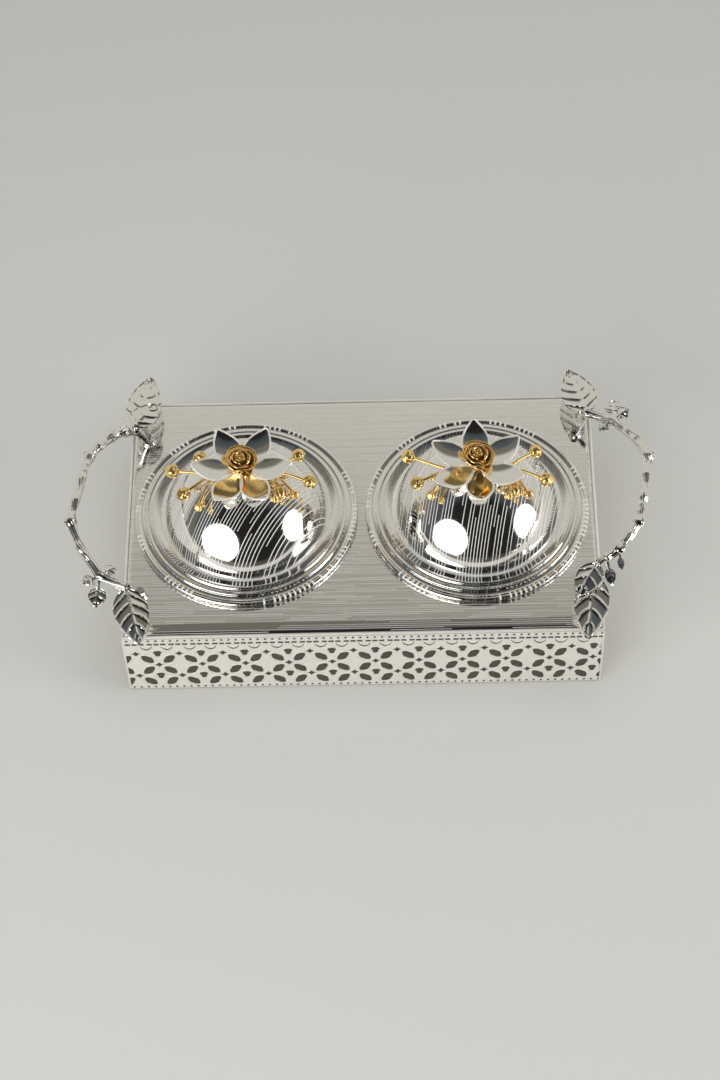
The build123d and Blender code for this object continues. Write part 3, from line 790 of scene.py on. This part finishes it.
def ball_arc(radius, from_r, to_r, steps):
    """Points of the dome's arc between two distances from the axis."""
    start, stop = asin(from_r / radius), asin(to_r / radius)
    points = []
    for k in range(steps + 1):
        lean = start + (stop - start) * k / steps
        points.append((radius * sin(lean), BALL_Z + radius * cos(lean)))
    return points


def cove():
    """The hollow between the inner step and the foot of the dome."""
    points = [(COVE_START_R, COVE_START_Z)]
    for k in range(1, COVE_STEPS + 1):
        t = k / COVE_STEPS
        z = COVE_START_Z - COVE_DEPTH * sin(t * pi / 2) ** 0.8 + COVE_RISE * t**6
        points.append((COVE_START_R - COVE_W * t, z))
    return points


rim = ROLLED_EDGE + OUTER_STEP + INNER_STEP
outside = rim + cove() + ball_arc(BALL_R, DOME_FOOT_R, DOME_TOP_R, steps=60) + BOSS
inside = ball_arc(BALL_R - WALL, INSIDE_TOP_R, INSIDE_FOOT_R, steps=30) + LIP
lid_outline = outside + inside
print("points in a lid's outline:", len(lid_outline))

# %% [markdown]
# ## The lids
# Spinning the outline in the software is the same job as spinning the sheet on the lathe. A fine outline
# and many steps matter here, because a mirror shows every facet.

# %% Spin the lids
LATHE_STEPS = 200

for side, axis in lid_axis.items():
    bm = bmesh.new()
    corners = []
    for radius, z in lid_outline:
        corners.append(bm.verts.new(((axis[0] + radius) * MM, axis[1] * MM, (axis[2] + z) * MM)))
    edges = [bm.edges.new((corners[n - 1], corners[n])) for n in range(len(corners))]
    full = {"angle": 2 * pi, "steps": LATHE_STEPS, "use_merge": True, "use_duplicate": False}
    bmesh.ops.spin(bm, geom=corners + edges, cent=Vector(axis) * MM, axis=(0, 0, 1), **full)
    body, stands_for = f"lid_{side}", [f"lid_{side}"]
    finish_piece(f"spun_lid_{side}", bm, lid_silver[side], body, stands_for, sharp=50)

# %% [markdown]
# ## The petals
# Six cupped silver petals stand round each rose. Each is a grid pressed into a shallow ball shape and cut
# to an almond outline, then thickened. The light edge that catches the eye is a rim, so a thin rod runs
# round it.

# %% Petal shape
PETAL_ROOT, PETAL_TIP, PETAL_W, PETAL_T = 4.0, 28.6, 7.5, 0.8
PETAL_END_W, PETAL_RIM_UP = 0.12, 0.15
CUP_R, TILT = 27.0, radians(12)
PETAL_MIDDLE = (PETAL_ROOT + PETAL_TIP) / 2
CUP_EDGE = CUP_R - sqrt(CUP_R**2 - (PETAL_TIP - PETAL_MIDDLE) ** 2)


def petal_point(t, v):
    """Point of a petal that lies along X, in mm above the hub's underside."""
    x = PETAL_ROOT + (PETAL_TIP - PETAL_ROOT) * t
    width = max(PETAL_END_W, PETAL_W * max(0.0, sin(pi * (0.04 + 0.96 * t) ** 0.95)) ** 0.76)
    y = v * width
    z = CUP_R - sqrt(CUP_R**2 - (x - PETAL_MIDDLE) ** 2 - y * y) - CUP_EDGE
    return Vector((x * cos(TILT) - z * sin(TILT), y, x * sin(TILT) + z * cos(TILT)))


def petal_edge(steps=12):
    """Points round a petal, a hair above its face."""
    edge = [petal_point(k / steps, 1) for k in range(steps + 1)]
    edge += [petal_point(k / steps, -1) for k in range(steps - 1, -1, -1)]
    return [point + Vector((0, 0, PETAL_RIM_UP)) for point in edge]


def turned_point(point, angle, base):
    """Turns a point about Z and moves it to base; all in mm."""
    return Matrix.Rotation(angle, 3, "Z") @ Vector(point) + Vector(base)


print("petal tip at", [round(v, 1) for v in petal_point(1, 0)])

# %% [markdown]
# ## The flowers
# The petals stand on a round hub that sits on the lid's boss. The two flowers are the same part, but the
# right one is turned a little against the left one, so each lid has its own angle.

# %% Petals, hubs and rims
PETALS = 6
PETAL_TURN = {"left": 0.0, "right": -27.0}
PETAL_RIM_R = 0.55
HUB_Z, HUB_R, HUB_TOP_R, HUB_T = 1.8, 7, 6.4, 1.5

for side, axis in lid_axis.items():
    bm = bmesh.new()
    rims = []
    base = (axis[0], axis[1], axis[2] + BOSS_Z + HUB_Z)
    for n in range(PETALS):
        angle = radians(PETAL_TURN[side] + 360 / PETALS * n)
        add_sheet(bm, 20, 12, lambda t, v: turned_point(petal_point(t, v), angle, base), PETAL_T)
        rims.append([(turned_point(point, angle, base), PETAL_RIM_R) for point in petal_edge()])
    size = {"radius1": HUB_R * MM, "radius2": HUB_TOP_R * MM, "depth": HUB_T * MM}
    hub = bmesh.ops.create_cone(bm, cap_ends=True, segments=32, **size)
    bmesh.ops.translate(bm, verts=hub["verts"], vec=Vector((base[0], base[1], base[2] - HUB_T / 2)) * MM)
    body, stands_for = f"lid_{side}", [f"petals_{side}"]
    finish_piece(f"flower_petals_{side}", bm, bright_silver, body, stands_for, recalc=False)
    edging = bmesh.new()
    add_rods(edging, rims, sides=8, smooth_steps=3)
    finish_piece(f"petal_rims_{side}", edging, lace_silver, body, recalc=False)

# %% [markdown]
# ## The rose
# The rose is cast in one piece, but it reads as petals wound round each other. Each petal here is a curved
# sheet set a golden angle on from the last, so none lines up, and the outer ones are lower and open wider.

# %% Rose petals
ROSE_PETALS = 15
GOLDEN = radians(137.5)
ROSE_PETAL_T = 0.5


def rose_petal(order):
    """Shape of one rose petal. far is 0 for the inmost petal and 1 for the outmost."""
    far = order / (ROSE_PETALS - 1)
    radius = 1.0 + 8.9 * far**0.85
    top = 13.6 - 4.4 * far**1.4
    root = 3.6 - 1.2 * far
    span = radians(96 - 44 * far)
    curl = 0.5 + 1.3 * far + 0.35 * sin(order * 2.7)

    def shape(t, v):
        angle = order * GOLDEN + v * span
        ruffle = 0.8 * far * sin(3.1 * v + order * 1.9)
        reach = radius * (0.5 + 0.5 * sin(t * pi / 2) ** 0.8) + (curl + ruffle) * t**4
        reach -= 0.18 * radius * (v + 1) * far
        rise = (top - root) * t - (2.4 * abs(v) ** 2.4 + ruffle) * t
        return (reach * cos(angle), reach * sin(angle), root + rise)

    return shape


print("rose petals:", ROSE_PETALS)

# %% [markdown]
# ## Casting the rose
# A thin rod along the top of every petal gives it the rolled edge that catches the light. A small spiral
# fills the heart, and a thick stalk in the middle joins everything, as in the casting.

# %% Roses
EDGE_STEPS, EDGE_ROD_R, EDGE_END_R = 4, 0.45, 0.2
HEART_STEPS, HEART_TURN, HEART_Z, HEART_ROD_R = 22, 0.75, 13.3, 0.35
HEART_START_R, HEART_GROW, HEART_SINK = 0.3, 0.11, 0.05
STALK = ((0.05, 3.0), (1.5, 3.6), (4.0, 4.6), (7.0, 3.0), (12.0, 1.4))  # height and radius


def heart_of_rose(base):
    """The spiral in the middle of the rose."""
    heart = []
    for k in range(HEART_STEPS):
        swirl = k * HEART_TURN
        around = Vector((cos(swirl), sin(swirl), 0)) * (HEART_START_R + HEART_GROW * k)
        heart.append((base + around + Vector((0, 0, HEART_Z - HEART_SINK * k)), HEART_ROD_R))
    return heart


for side, axis in lid_axis.items():
    bm = bmesh.new()
    base = Vector((axis[0], axis[1], axis[2] + BOSS_Z + HUB_Z))
    rods = []
    for order in range(ROSE_PETALS):
        shape = rose_petal(order)
        add_sheet(bm, 8, 12, lambda t, v: Vector(shape(t, v)) + base, ROSE_PETAL_T)
        edge = []
        for v in range(-EDGE_STEPS, EDGE_STEPS + 1):
            radius = EDGE_END_R if abs(v) == EDGE_STEPS else EDGE_ROD_R
            edge.append((Vector(shape(1, v / EDGE_STEPS)) + base, radius))
        rods.append(edge)
    stalk = [(base + Vector((0, 0, z)), radius) for z, radius in STALK]
    add_rods(bm, rods + [heart_of_rose(base), stalk], sides=8, smooth_steps=2)
    body, stands_for = f"lid_{side}", [f"rose_{side}"]
    finish_piece(f"gold_rose_{side}", bm, gold, body, stands_for, recalc=False)

# %% [markdown]
# ## The berries
# Gold stems fork out on both sides of the flower and end in berries that look like tight buds. A ball with
# spiral grooves pressed into it gives that look with few faces. One bud on each right-hand spray is longer
# and has straight ribs.

# %% Berries
LONG_BUD = 3.4  # only the long buds have this radius
BERRY_TOP, GROOVE_DEPTH, DIMPLE_DEPTH, DIMPLE_W = 1.04, 0.3, 0.16, 0.1
# Middle of each berry, from the top of the boss, and its radius
SPRAYS = {
    ("left", "left"): [
        (-39.6, 2.8, -1.5, 4.0), (-24.0, 10.8, 0.0, 3.8), (-32.8, -13.3, -1.5, 4.0),
        (-24.2, -21.7, -3.0, 2.4),
    ],
    ("left", "right"): [
        (31.9, 10.8, 0.0, 3.8), (38.3, -6.7, -1.5, 4.0), (21.5, -13.2, -2.0, LONG_BUD),
        (29.9, -14.8, -2.5, 2.4),
    ],
    ("right", "left"): [(-38.9, 9.3, -1.0, 4.0), (-34.2, -8.9, -1.5, 3.8), (-26.5, -16.7, -3.0, 2.6)],
    ("right", "right"): [
        (33.2, 10.3, 0.0, 3.8), (38.5, -8.6, -1.5, 4.0), (28.1, -17.3, -3.0, 2.6),
        (20.4, -14.4, -2.0, LONG_BUD),
    ],
}


def add_berry(bm, centre, radius, ribs, twist, stretch, along):
    """A ball with ribs pressed into it; stretch lengthens it along a direction."""
    ball = bmesh.ops.create_uvsphere(bm, u_segments=30, v_segments=16, radius=1)
    lean = Vector((0, 0, 1)).rotation_difference(along).to_matrix()
    for v in ball["verts"]:
        height = max(-1.0, min(1.0, v.co.z))
        angle = (Vector((v.co.x, v.co.y, 0)).angle(Vector((1, 0, 0)), 0.0)) * (1 if v.co.y >= 0 else -1)
        wave = (0.5 + 0.5 * cos(ribs * angle + twist * height)) ** 3
        groove = BERRY_TOP - GROOVE_DEPTH * wave * (1 - height**4)
        dimple = 1 - DIMPLE_DEPTH * exp(-(((height - 1) / DIMPLE_W) ** 2))
        shaped = Vector((v.co.x * groove, v.co.y * groove, v.co.z * stretch * dimple))
        v.co = (Vector(centre) + lean @ shaped * radius) * MM


print("berries:", sum(len(berries) for berries in SPRAYS.values()))

# %% [markdown]
# ## The berry sprays
# Each spray is one casting: a collar round the rose's stalk, a short arm, and a bowed stem to every berry.
# A small calyx ties a berry to its stem, and four little leaves stand at the neck of a long bud.

# %% Sprays
FORK_OUT, FORK_FRONT = 17.0, -1.0
ARM_START, COLLAR_R, COLLAR_Z, COLLAR_ROD_R = 4.2, 3.9, 0.75, 0.74
CALYX = ((1.25, 0.5), (0.98, 1.5), (0.7, 1.7))  # distance from the middle in berry radii, and rod radius
NECK_LEAVES, NECK_BACK, NECK_LEAF_L = 4, 3.2, 4.0
NECK_LEAF_START, NECK_LEAF_STEP = 0.4, 1.57  # angles in radians


def long_bud(bm, tip, radius, out):
    """Adds a ribbed bud; returns the rods of the leaves at its neck."""
    along = (out + Vector((0, -0.5, -0.2))).normalized()
    add_berry(bm, tip, radius, ribs=8, twist=0.0, stretch=1.35, along=along)
    neck = tip - out * NECK_BACK
    leaves = []
    for k in range(NECK_LEAVES):
        turned = Matrix.Rotation(k * NECK_LEAF_STEP + NECK_LEAF_START, 3, "Z")
        leaf_way = (turned @ Vector((1, 0, 0.35))) * NECK_LEAF_L
        leaves.append([(neck, 0.5), (neck + leaf_way * 0.5, 0.95), (neck + out * 0.2 + leaf_way, 0.15)])
    return leaves


def round_berry(bm, tip, radius, out):
    """Adds a berry with spiral grooves; returns the rod of its calyx."""
    along = (out + Vector((0, -0.2, 1.2))).normalized()
    add_berry(bm, tip, radius, ribs=4, twist=3.4, stretch=1.0, along=along)
    return [[(tip - out * radius * back, thick) for back, thick in CALYX]]


for (side, hand), berries in SPRAYS.items():
    axis = lid_axis[side]
    base = Vector((axis[0], axis[1], axis[2] + BOSS_Z))
    sign = -1 if hand == "left" else 1
    bm = bmesh.new()
    fork = base + Vector((sign * FORK_OUT, FORK_FRONT, 0.0))
    middle = (base + fork) / 2 + Vector((0, 0, 0.5))
    rods = [[(base + Vector((sign * ARM_START, 0, 0.8)), 0.9), (middle, 0.8), (fork, 1.15)]]
    for x, y, z, radius in berries:
        tip = base + Vector((x, y, z))
        out = (tip - fork).normalized()
        bend = (fork + tip) / 2 + Vector((0, 0.6 * sign, 0.9))
        rods.append([(fork, 1.0), (bend, 0.78), (tip - out * radius * 0.8, 1.0)])
        add_end = long_bud if radius == LONG_BUD else round_berry
        rods += add_end(bm, tip, radius, out)
    collar = []
    for angle in (radians(d) for d in range(-80, 81, 20)):
        spot = Vector((sign * COLLAR_R * cos(angle), COLLAR_R * sin(angle), COLLAR_Z))
        collar.append((base + spot, COLLAR_ROD_R))
    add_rods(bm, rods + [collar], sides=10, smooth_steps=4)
    body, stands_for = f"lid_{side}", [f"spray_{side}_{hand}"]
    finish_piece(f"berry_spray_{side}_{hand}", bm, gold, body, stands_for, recalc=False)

# %% [markdown]
# ## The route of a vine
# Each handle is a casting of a knotty branch. A smooth rod along the measured route is a start, and its
# radius swells at every knot. Four thinner rods wind slowly round it as the long ridges of the bark.

# %% Vine route
PLATE_TOP = 54.4
VINE = [
    (-4.3, -50.0, 16.4), (2.1, -47.2, 18.6), (8.9, -43.3, 20.6), (15.5, -34.7, 22.6), (20.5, -27.2, 23.3),
    (24.3, -10.2, 24.6), (27.0, 5.0, 24.6), (29.0, 18.6, 24.1), (23.6, 33.8, 20.6), (11.5, 50.9, 15.9),
    (-3.2, 58.1, 14.4),
]
KNOT = [2.7, 2.7, 3.2, 2.5, 3.3, 2.8, 2.9, 3.5, 2.6, 3.1, 2.8]
AFTER_KNOT, MID_WAY, BEFORE_KNOT = 2.3, 2.1, 2.25  # radius of the branch between two knots
RIDGES = ((0.4, 0.95), (1.9, 0.8), (3.3, 1.0), (4.9, 0.85))  # angle at the start, and radius
RIDGE_REACH, RIDGE_TWIST = 0.8, 0.22
SWAY_OUT, SWAY_UP = 0.35, 0.3


def on_end(point):
    """Handle point, given from the box end and the plate, in the box's own mm."""
    return Vector((BOX_L / 2 + point[0], point[1], PLATE_TOP + point[2]))


def strand(path, turned, radius):
    """A thin rod that winds slowly round a path."""
    wound = []
    for k, (spot, thick) in enumerate(path):
        way = (path[min(k + 1, len(path) - 1)][0] - path[max(k - 1, 0)][0]).normalized()
        aside = way.cross(Vector((0, 0, 1))).normalized()
        angle = turned + RIDGE_TWIST * k
        around = aside * cos(angle) + aside.cross(way) * sin(angle)
        wound.append((spot + around * thick * RIDGE_REACH, radius))
    return wound


def branch_rods(knots):
    """The branch from knot to knot, with its ridges."""
    branch = []
    for n, spot in enumerate(knots):
        branch.append((spot, KNOT[n]))
        if n + 1 < len(knots):
            ahead = knots[n + 1]
            sway = Vector((SWAY_OUT * sin(n * 2.1), 0, SWAY_UP * cos(n * 1.7)))
            branch.append((spot.lerp(ahead, 0.25), AFTER_KNOT))
            branch.append(((spot + ahead) / 2 + sway, MID_WAY))
            branch.append((spot.lerp(ahead, 0.78), BEFORE_KNOT))
    return [branch] + [strand(branch, turned, radius) for turned, radius in RIDGES]


knots = [on_end(point) for point in VINE]
print("knots on a vine:", len(knots))

# %% [markdown]
# ## Casting the vines
# Two legs end in round feet on the plate, and short cut twigs stand out at some knots. Noise along the
# normals then roughens the bark. The right handle is drawn, and the left one is the same casting turned
# half round.

# %% Vines
FEET = [Vector((125.0, -54.0, PLATE_TOP)), Vector((125.0, 54.0, PLATE_TOP))]
FOOT_LOW_R, FOOT_HIGH_R, FOOT_H = 4.2, 3.4, 2
TWIGS = [
    (4, (3.0, -2.3, 0.8)), (7, (3.3, 1.8, 0.6)), (5, (1.8, -1.8, 0.4)), (6, (-2.2, 0.4, 0.4)),
    (8, (1.9, 1.6, 0.0)),
]
TWIG_TAPER = ((0.0, 2.2), (0.6, 1.6), (0.95, 1.45), (1.0, 1.2))  # part of its length, and radius
LEG_START_Z, LEG_START_R = 1.6, 3.2
LEG_TAPER = ((0.35, 2.0), (0.75, 2.1), (1.0, 2.5))  # part of the way up, and radius
BARK_DEPTH, BARK_COARSE, BARK_FINE, FINE_SHARE = 0.42, 0.28, 0.9, 0.3
HALF_TURN = Matrix.Rotation(pi, 4, "Z")


def leg(foot, knot):
    """The rod from a foot up to the end of the branch."""
    start = (foot + Vector((0, 0, LEG_START_Z)), LEG_START_R)
    return [start] + [(foot.lerp(knot, far), radius) for far, radius in LEG_TAPER]


def roughen(bm):
    """Pushes the surface in and out along its normals."""
    bm.normal_update()
    for v in bm.verts:
        rough = noise.noise(v.co / MM * BARK_COARSE) + FINE_SHARE * noise.noise(v.co / MM * BARK_FINE)
        v.co += v.normal * rough * BARK_DEPTH * MM


def finish_casting(name, bm, side, stands_for):
    """Finishes a piece of a handle; the left one is turned half round first."""
    if side == "left":
        bmesh.ops.transform(bm, matrix=HALF_TURN, verts=bm.verts)
    finish_piece(name, bm, bright_silver, "box", [stands_for], recalc=False)


for side in ("right", "left"):
    bm = bmesh.new()
    legs = [leg(foot, knot) for foot, knot in zip(FEET, (knots[0], knots[-1]))]
    twigs = [[(knots[n] + Vector(way) * far, radius) for far, radius in TWIG_TAPER] for n, way in TWIGS]
    add_rods(bm, branch_rods(knots) + legs + twigs, sides=14, smooth_steps=5)
    roughen(bm)
    for foot in FEET:
        size = {"radius1": FOOT_LOW_R * MM, "radius2": FOOT_HIGH_R * MM, "depth": FOOT_H * MM}
        pad = bmesh.ops.create_cone(bm, cap_ends=True, segments=28, **size)
        bmesh.ops.translate(bm, verts=pad["verts"], vec=(foot + Vector((0, 0, FOOT_H / 2))) * MM)
    finish_casting(f"cast_vine_{side}", bm, side, f"vine_{side}")

# %% [markdown]
# ## The shape of a leaf
# The cast leaves arch over their midrib, and curved side veins stand up between hollow fields, with a
# raised edge all round. The fields and veins are part of the shape, not a texture, because each one throws
# its own reflection. A formula over a grid gives them: a ridge down the middle, ridges that sweep towards
# the tip, and a lip at the edge. All of it gets lower on a small leaf.

# %% Leaf shape
FULL_LEAF_HALF = 8  # mm; a narrower leaf has lower relief
VEIN_SWEEP, VEIN_H, VEIN_SPREAD = 0.2, 0.5, 0.007
HOLLOW_DEPTH, HOLLOW_SPREAD = 0.32, 0.03
MIDRIB_H, MIDRIB_HALF, LEAF_LIP_H, LEAF_LIP_HALF = 0.75, 0.75, 0.5, 0.55
ARCH, CUPPING = 1.2, 44


def leaf_shape(length, half, veins):
    """Leaf along X in mm: along 0..1, across -1..1."""
    small = min(1.0, half / FULL_LEAF_HALF)

    def shape(t, v):
        width = max(0.15, half * max(0.0, sin(pi * t**0.75)) ** 0.72)
        y = v * width
        place = (t - VEIN_SWEEP * abs(v) ** 1.3) * veins
        beside = place % 1 - 0.5
        vein = 0.0
        if 0.3 < place < veins - 0.5:
            vein = VEIN_H * exp(-beside * beside / VEIN_SPREAD) * min(1.0, 5 * abs(v))
        open_field = 1 - exp(-beside * beside / HOLLOW_SPREAD)
        hollow = -HOLLOW_DEPTH * sin(pi * min(1.0, abs(v))) * open_field
        rib = MIDRIB_H * exp(-((y / MIDRIB_HALF / small) ** 2)) * (1 - 0.5 * t)
        lip = LEAF_LIP_H * exp(-(((1 - abs(v)) * width / LEAF_LIP_HALF / small) ** 2))
        relief = (rib + vein + lip + hollow) * small**1.5
        return (length * t, y, -y * y / CUPPING / small + relief + ARCH * small * sin(pi * t))

    return shape


def leaf_frame(base, tip, roll):
    """Matrix that lays a leaf from base to tip, rolled about its midrib."""
    along = (tip - base).normalized()
    across = Vector((0, 0, 1)).cross(along).normalized()
    up = along.cross(across)
    turned = Matrix((along, across, up)).transposed().to_4x4()
    sense = 1 if along.y < 0 else -1
    return Matrix.Translation(base) @ turned @ Matrix.Rotation(radians(roll * sense), 4, "X")


def add_leaf(bm, base, tip, roll, half, veins, thickness=0.9, fine=1.0):
    """Adds one leaf between two points in mm; fine scales the number of its faces."""
    frame_at = leaf_frame(base, tip, roll)
    shape = leaf_shape((tip - base).length, half, veins)
    add_sheet(bm, int(70 * fine), int(36 * fine), lambda t, v: frame_at @ Vector(shape(t, v)), thickness)


print("leaf helpers ready")

# %% [markdown]
# ## The leaves
# Each vine has three leaves: a large one at both ends and a smaller one over the front leaf. A thick stalk
# ties each to the branch, as in the casting.

# %% Leaves
# Base, tip, roll in degrees, half width, number of veins, and the point on the branch where the stalk starts
LEAVES = {
    "leaf_front": ((-5.4, -56.5, 14.6), (-10.5, -94.0, 9.4), 5.0, 9.8, 4.6, (-4.6, -50.6, 15.4)),
    "leaf_back": ((-3.2, 59.0, 14.4), (-11.8, 92.7, 9.6), 5.0, 9.9, 5.4, (-3.2, 56.0, 14.4)),
    "leaf_small": ((-4.0, -51.6, 19.4), (-14.6, -70.1, 15.0), 2.0, 7.6, 3.6, (-4.2, -49.6, 17.6)),
}
for side in ("right", "left"):
    for name, (base, tip, roll, half, veins, joint) in LEAVES.items():
        bm = bmesh.new()
        add_leaf(bm, on_end(base), on_end(tip), roll, half, veins)
        stalk = [(on_end(joint), 1.3), (on_end(base), 1.0), (on_end(base).lerp(on_end(tip), 0.12), 0.8)]
        add_rods(bm, [stalk], sides=10)
        finish_casting(f"{name}_cast_{side}", bm, side, f"{name}_{side}")

# %% [markdown]
# ## The sprigs
# Five smaller shoots grow from the knots near both ends of a vine. They are the same leaf at a smaller
# size, so the leaf function is used again with fewer steps, and a short thick stalk ties each to its knot.

# %% Sprigs
SPRIG_VEINS, SPRIG_T, SPRIG_FINE = 3.4, 0.7, 0.6
SPRIG_NECK = 0.4  # the blade starts at this part of the way
SPRIG_STALK = ((0.0, 1.3), (0.25, 0.9), (0.5, 0.7))  # part of the way, and radius
# Number of the knot, tip and half width of the blade
SPRIGS = [
    (9, (20.4, 57.0, 18.7), 4.3), (9, (13.4, 68.5, 11.5), 5.2), (9, (3.4, 44.6, 15.6), 3.6),
    (1, (4.4, -61.6, 13.2), 3.1), (2, (10.0, -54.5, 17.6), 1.9),
]
for side in ("right", "left"):
    bm = bmesh.new()
    rods = []
    for place, tip, half in SPRIGS:
        start, end = knots[place], on_end(tip)
        add_leaf(bm, start.lerp(end, SPRIG_NECK), end, 0, half, SPRIG_VEINS, SPRIG_T, SPRIG_FINE)
        rods.append([(start.lerp(end, far), radius) for far, radius in SPRIG_STALK])
    add_rods(bm, rods, sides=8)
    finish_casting(f"sprigs_cast_{side}", bm, side, f"sprigs_{side}")

# %% [markdown]
# ## Finishes for the measured parts
# The plate, bowls, floor board, felt and fasteners have the right shape already, so they only get their
# finish.

# %% Give the parts their finish
FINISH_OF = {
    "top_plate": plate_silver, "bowl_left": bright_silver, "bowl_right": bright_silver, "base_felt": felt,
    "base_board": dark_board, "handle_studs": steel, "handle_nuts": steel,
    "knob_screw_left": steel, "knob_screw_right": steel,
}
for node, finish in FINISH_OF.items():
    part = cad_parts[node]
    part.data.materials.clear()
    part.data.materials.append(finish)
print("finished parts:", len(FINISH_OF))

# %% [markdown]
# ## The floor
# The box stands on plain pale paper. Its mirror parts see the paper end a little in front of the box, as it
# does on a real table, so the floor turns dark there for reflected rays only. Far away it glows like the
# backdrop, so no horizon shows from a low camera.

# %% Floor
FLOOR_COLOR, FLOOR_ROUGHNESS, FLOOR_HALF = (0.7, 0.698, 0.678), 0.85, 9
BEYOND_PAPER = (0.06, 0.055, 0.05)
BACKDROP = (0.5, 0.495, 0.47)
PAPER_FADE_START, PAPER_FADE_END = -0.42, -0.5
HAZE_START, HAZE_END = 0.75, 2.2

floor_mesh = bmesh.new()
bmesh.ops.create_grid(floor_mesh, x_segments=2, y_segments=2, size=FLOOR_HALF)
mesh = bpy.data.meshes.new("studio_floor")
floor_mesh.to_mesh(mesh)
floor_mesh.free()
studio_floor = bpy.data.objects.new("studio_floor", mesh)
bpy.context.scene.collection.objects.link(studio_floor)

paper, tree, shader = new_finish("floor_paper", FLOOR_COLOR, 0.0, FLOOR_ROUGHNESS)
spot = object_spot(tree)
beyond = spread(tree, split_xyz(tree, spot)[1], PAPER_FADE_START, PAPER_FADE_END)
hidden = sums(tree, "MULTIPLY", beyond, tree.nodes.new("ShaderNodeLightPath").outputs["Is Glossy Ray"])
tree.links.new(blend_colors(tree, hidden, FLOOR_COLOR, BEYOND_PAPER), shader.inputs["Base Color"])
far_off = spread(tree, wire(tree, "VectorMath", spot, operation="LENGTH", out=1), HAZE_START, HAZE_END)
glow = sums(tree, "MULTIPLY", far_off, sums(tree, "SUBTRACT", 1.0, hidden))
tree.links.new(glow, shader.inputs["Emission Strength"])
shader.inputs["Emission Color"].default_value = (*BACKDROP, 1)
mesh.materials.append(paper)
print("floor", [round(v, 2) for v in studio_floor.dimensions])

# %% [markdown]
# ## The lamps
# Silver shows its surroundings more than itself. Two large round soft lamps stand low at the left and at
# the right and give the round highlights on the domes. A wide one overhead lights the floor and is hidden
# from the mirrors.

# %% Lamps
LAMP_COLOR = (1.0, 0.985, 0.96)
LAMP_AIM = Vector((0, 0, 0.06))


def round_lamp(name, way, distance, size, power):
    """A round soft lamp that faces the box, with its distance and width in m and its power in W."""
    lamp = bpy.data.lights.new(name, "AREA")
    lamp.shape = "DISK"
    lamp.size = size
    lamp.energy = power
    lamp.color = LAMP_COLOR
    holder = bpy.data.objects.new(name, lamp)
    bpy.context.scene.collection.objects.link(holder)
    way = Vector(way).normalized()
    stand = Matrix.Translation(way * distance + LAMP_AIM)
    holder.matrix_world = stand @ way.to_track_quat("Z", "Y").to_matrix().to_4x4()
    return holder


round_lamp("lamp_left", (-0.58, -0.755, 0.31), distance=1.5, size=1.35, power=12)
round_lamp("lamp_right", (0.93, -0.275, 0.235), distance=1.7, size=1.1, power=11)
overhead = round_lamp("lamp_overhead", (0, -0.14, 1), distance=2.2, size=3.0, power=30)
overhead.visible_glossy = False
print("three lamps are set")

# %% [markdown]
# ## The surroundings
# The studio is bright behind the box, grey above it and nearly black in front of it. An image of a room
# would do the same, but a colour ramp along one slanted direction is plainer, and each of its stops can be
# moved until the reflections match. The camera itself sees only the plain backdrop.

# %% World
SLANT = 0.65
RAMP_LOW, RAMP_HIGH = -1.2, 0.2
STOPS = [
    (-1.05, (0.018, 0.016, 0.014)), (-0.8, (0.02, 0.019, 0.018)), (-0.68, (0.055, 0.062, 0.07)),
    (-0.36, (0.095, 0.105, 0.108)), (-0.32, (0.15, 0.142, 0.124)), (-0.075, (0.165, 0.155, 0.133)),
    (0.1, (0.56, 0.545, 0.495)),
]

world = bpy.data.worlds.new("studio")
bpy.context.scene.world = world
world.use_nodes = True
tree = world.node_tree
_, y, z = split_xyz(tree, tree.nodes.new("ShaderNodeTexCoord").outputs["Generated"])
slope = sums(tree, "SUBTRACT", y, sums(tree, "MULTIPLY", z, SLANT))
ramp = tree.nodes.new("ShaderNodeValToRGB")
tree.links.new(spread(tree, slope, RAMP_LOW, RAMP_HIGH), ramp.inputs[0])
while len(ramp.color_ramp.elements) < len(STOPS):
    ramp.color_ramp.elements.new(0.5)
for stop, (level, color) in zip(ramp.color_ramp.elements, STOPS):
    stop.position = (level - RAMP_LOW) / (RAMP_HIGH - RAMP_LOW)
    stop.color = (*color, 1)
by_camera = tree.nodes.new("ShaderNodeLightPath").outputs["Is Camera Ray"]
seen = blend_colors(tree, by_camera, ramp.outputs[0], BACKDROP)
tree.links.new(seen, tree.nodes["Background"].inputs["Color"])
bpy.context.scene.view_settings.view_transform = "Standard"
print("the world has", len(STOPS), "stops")
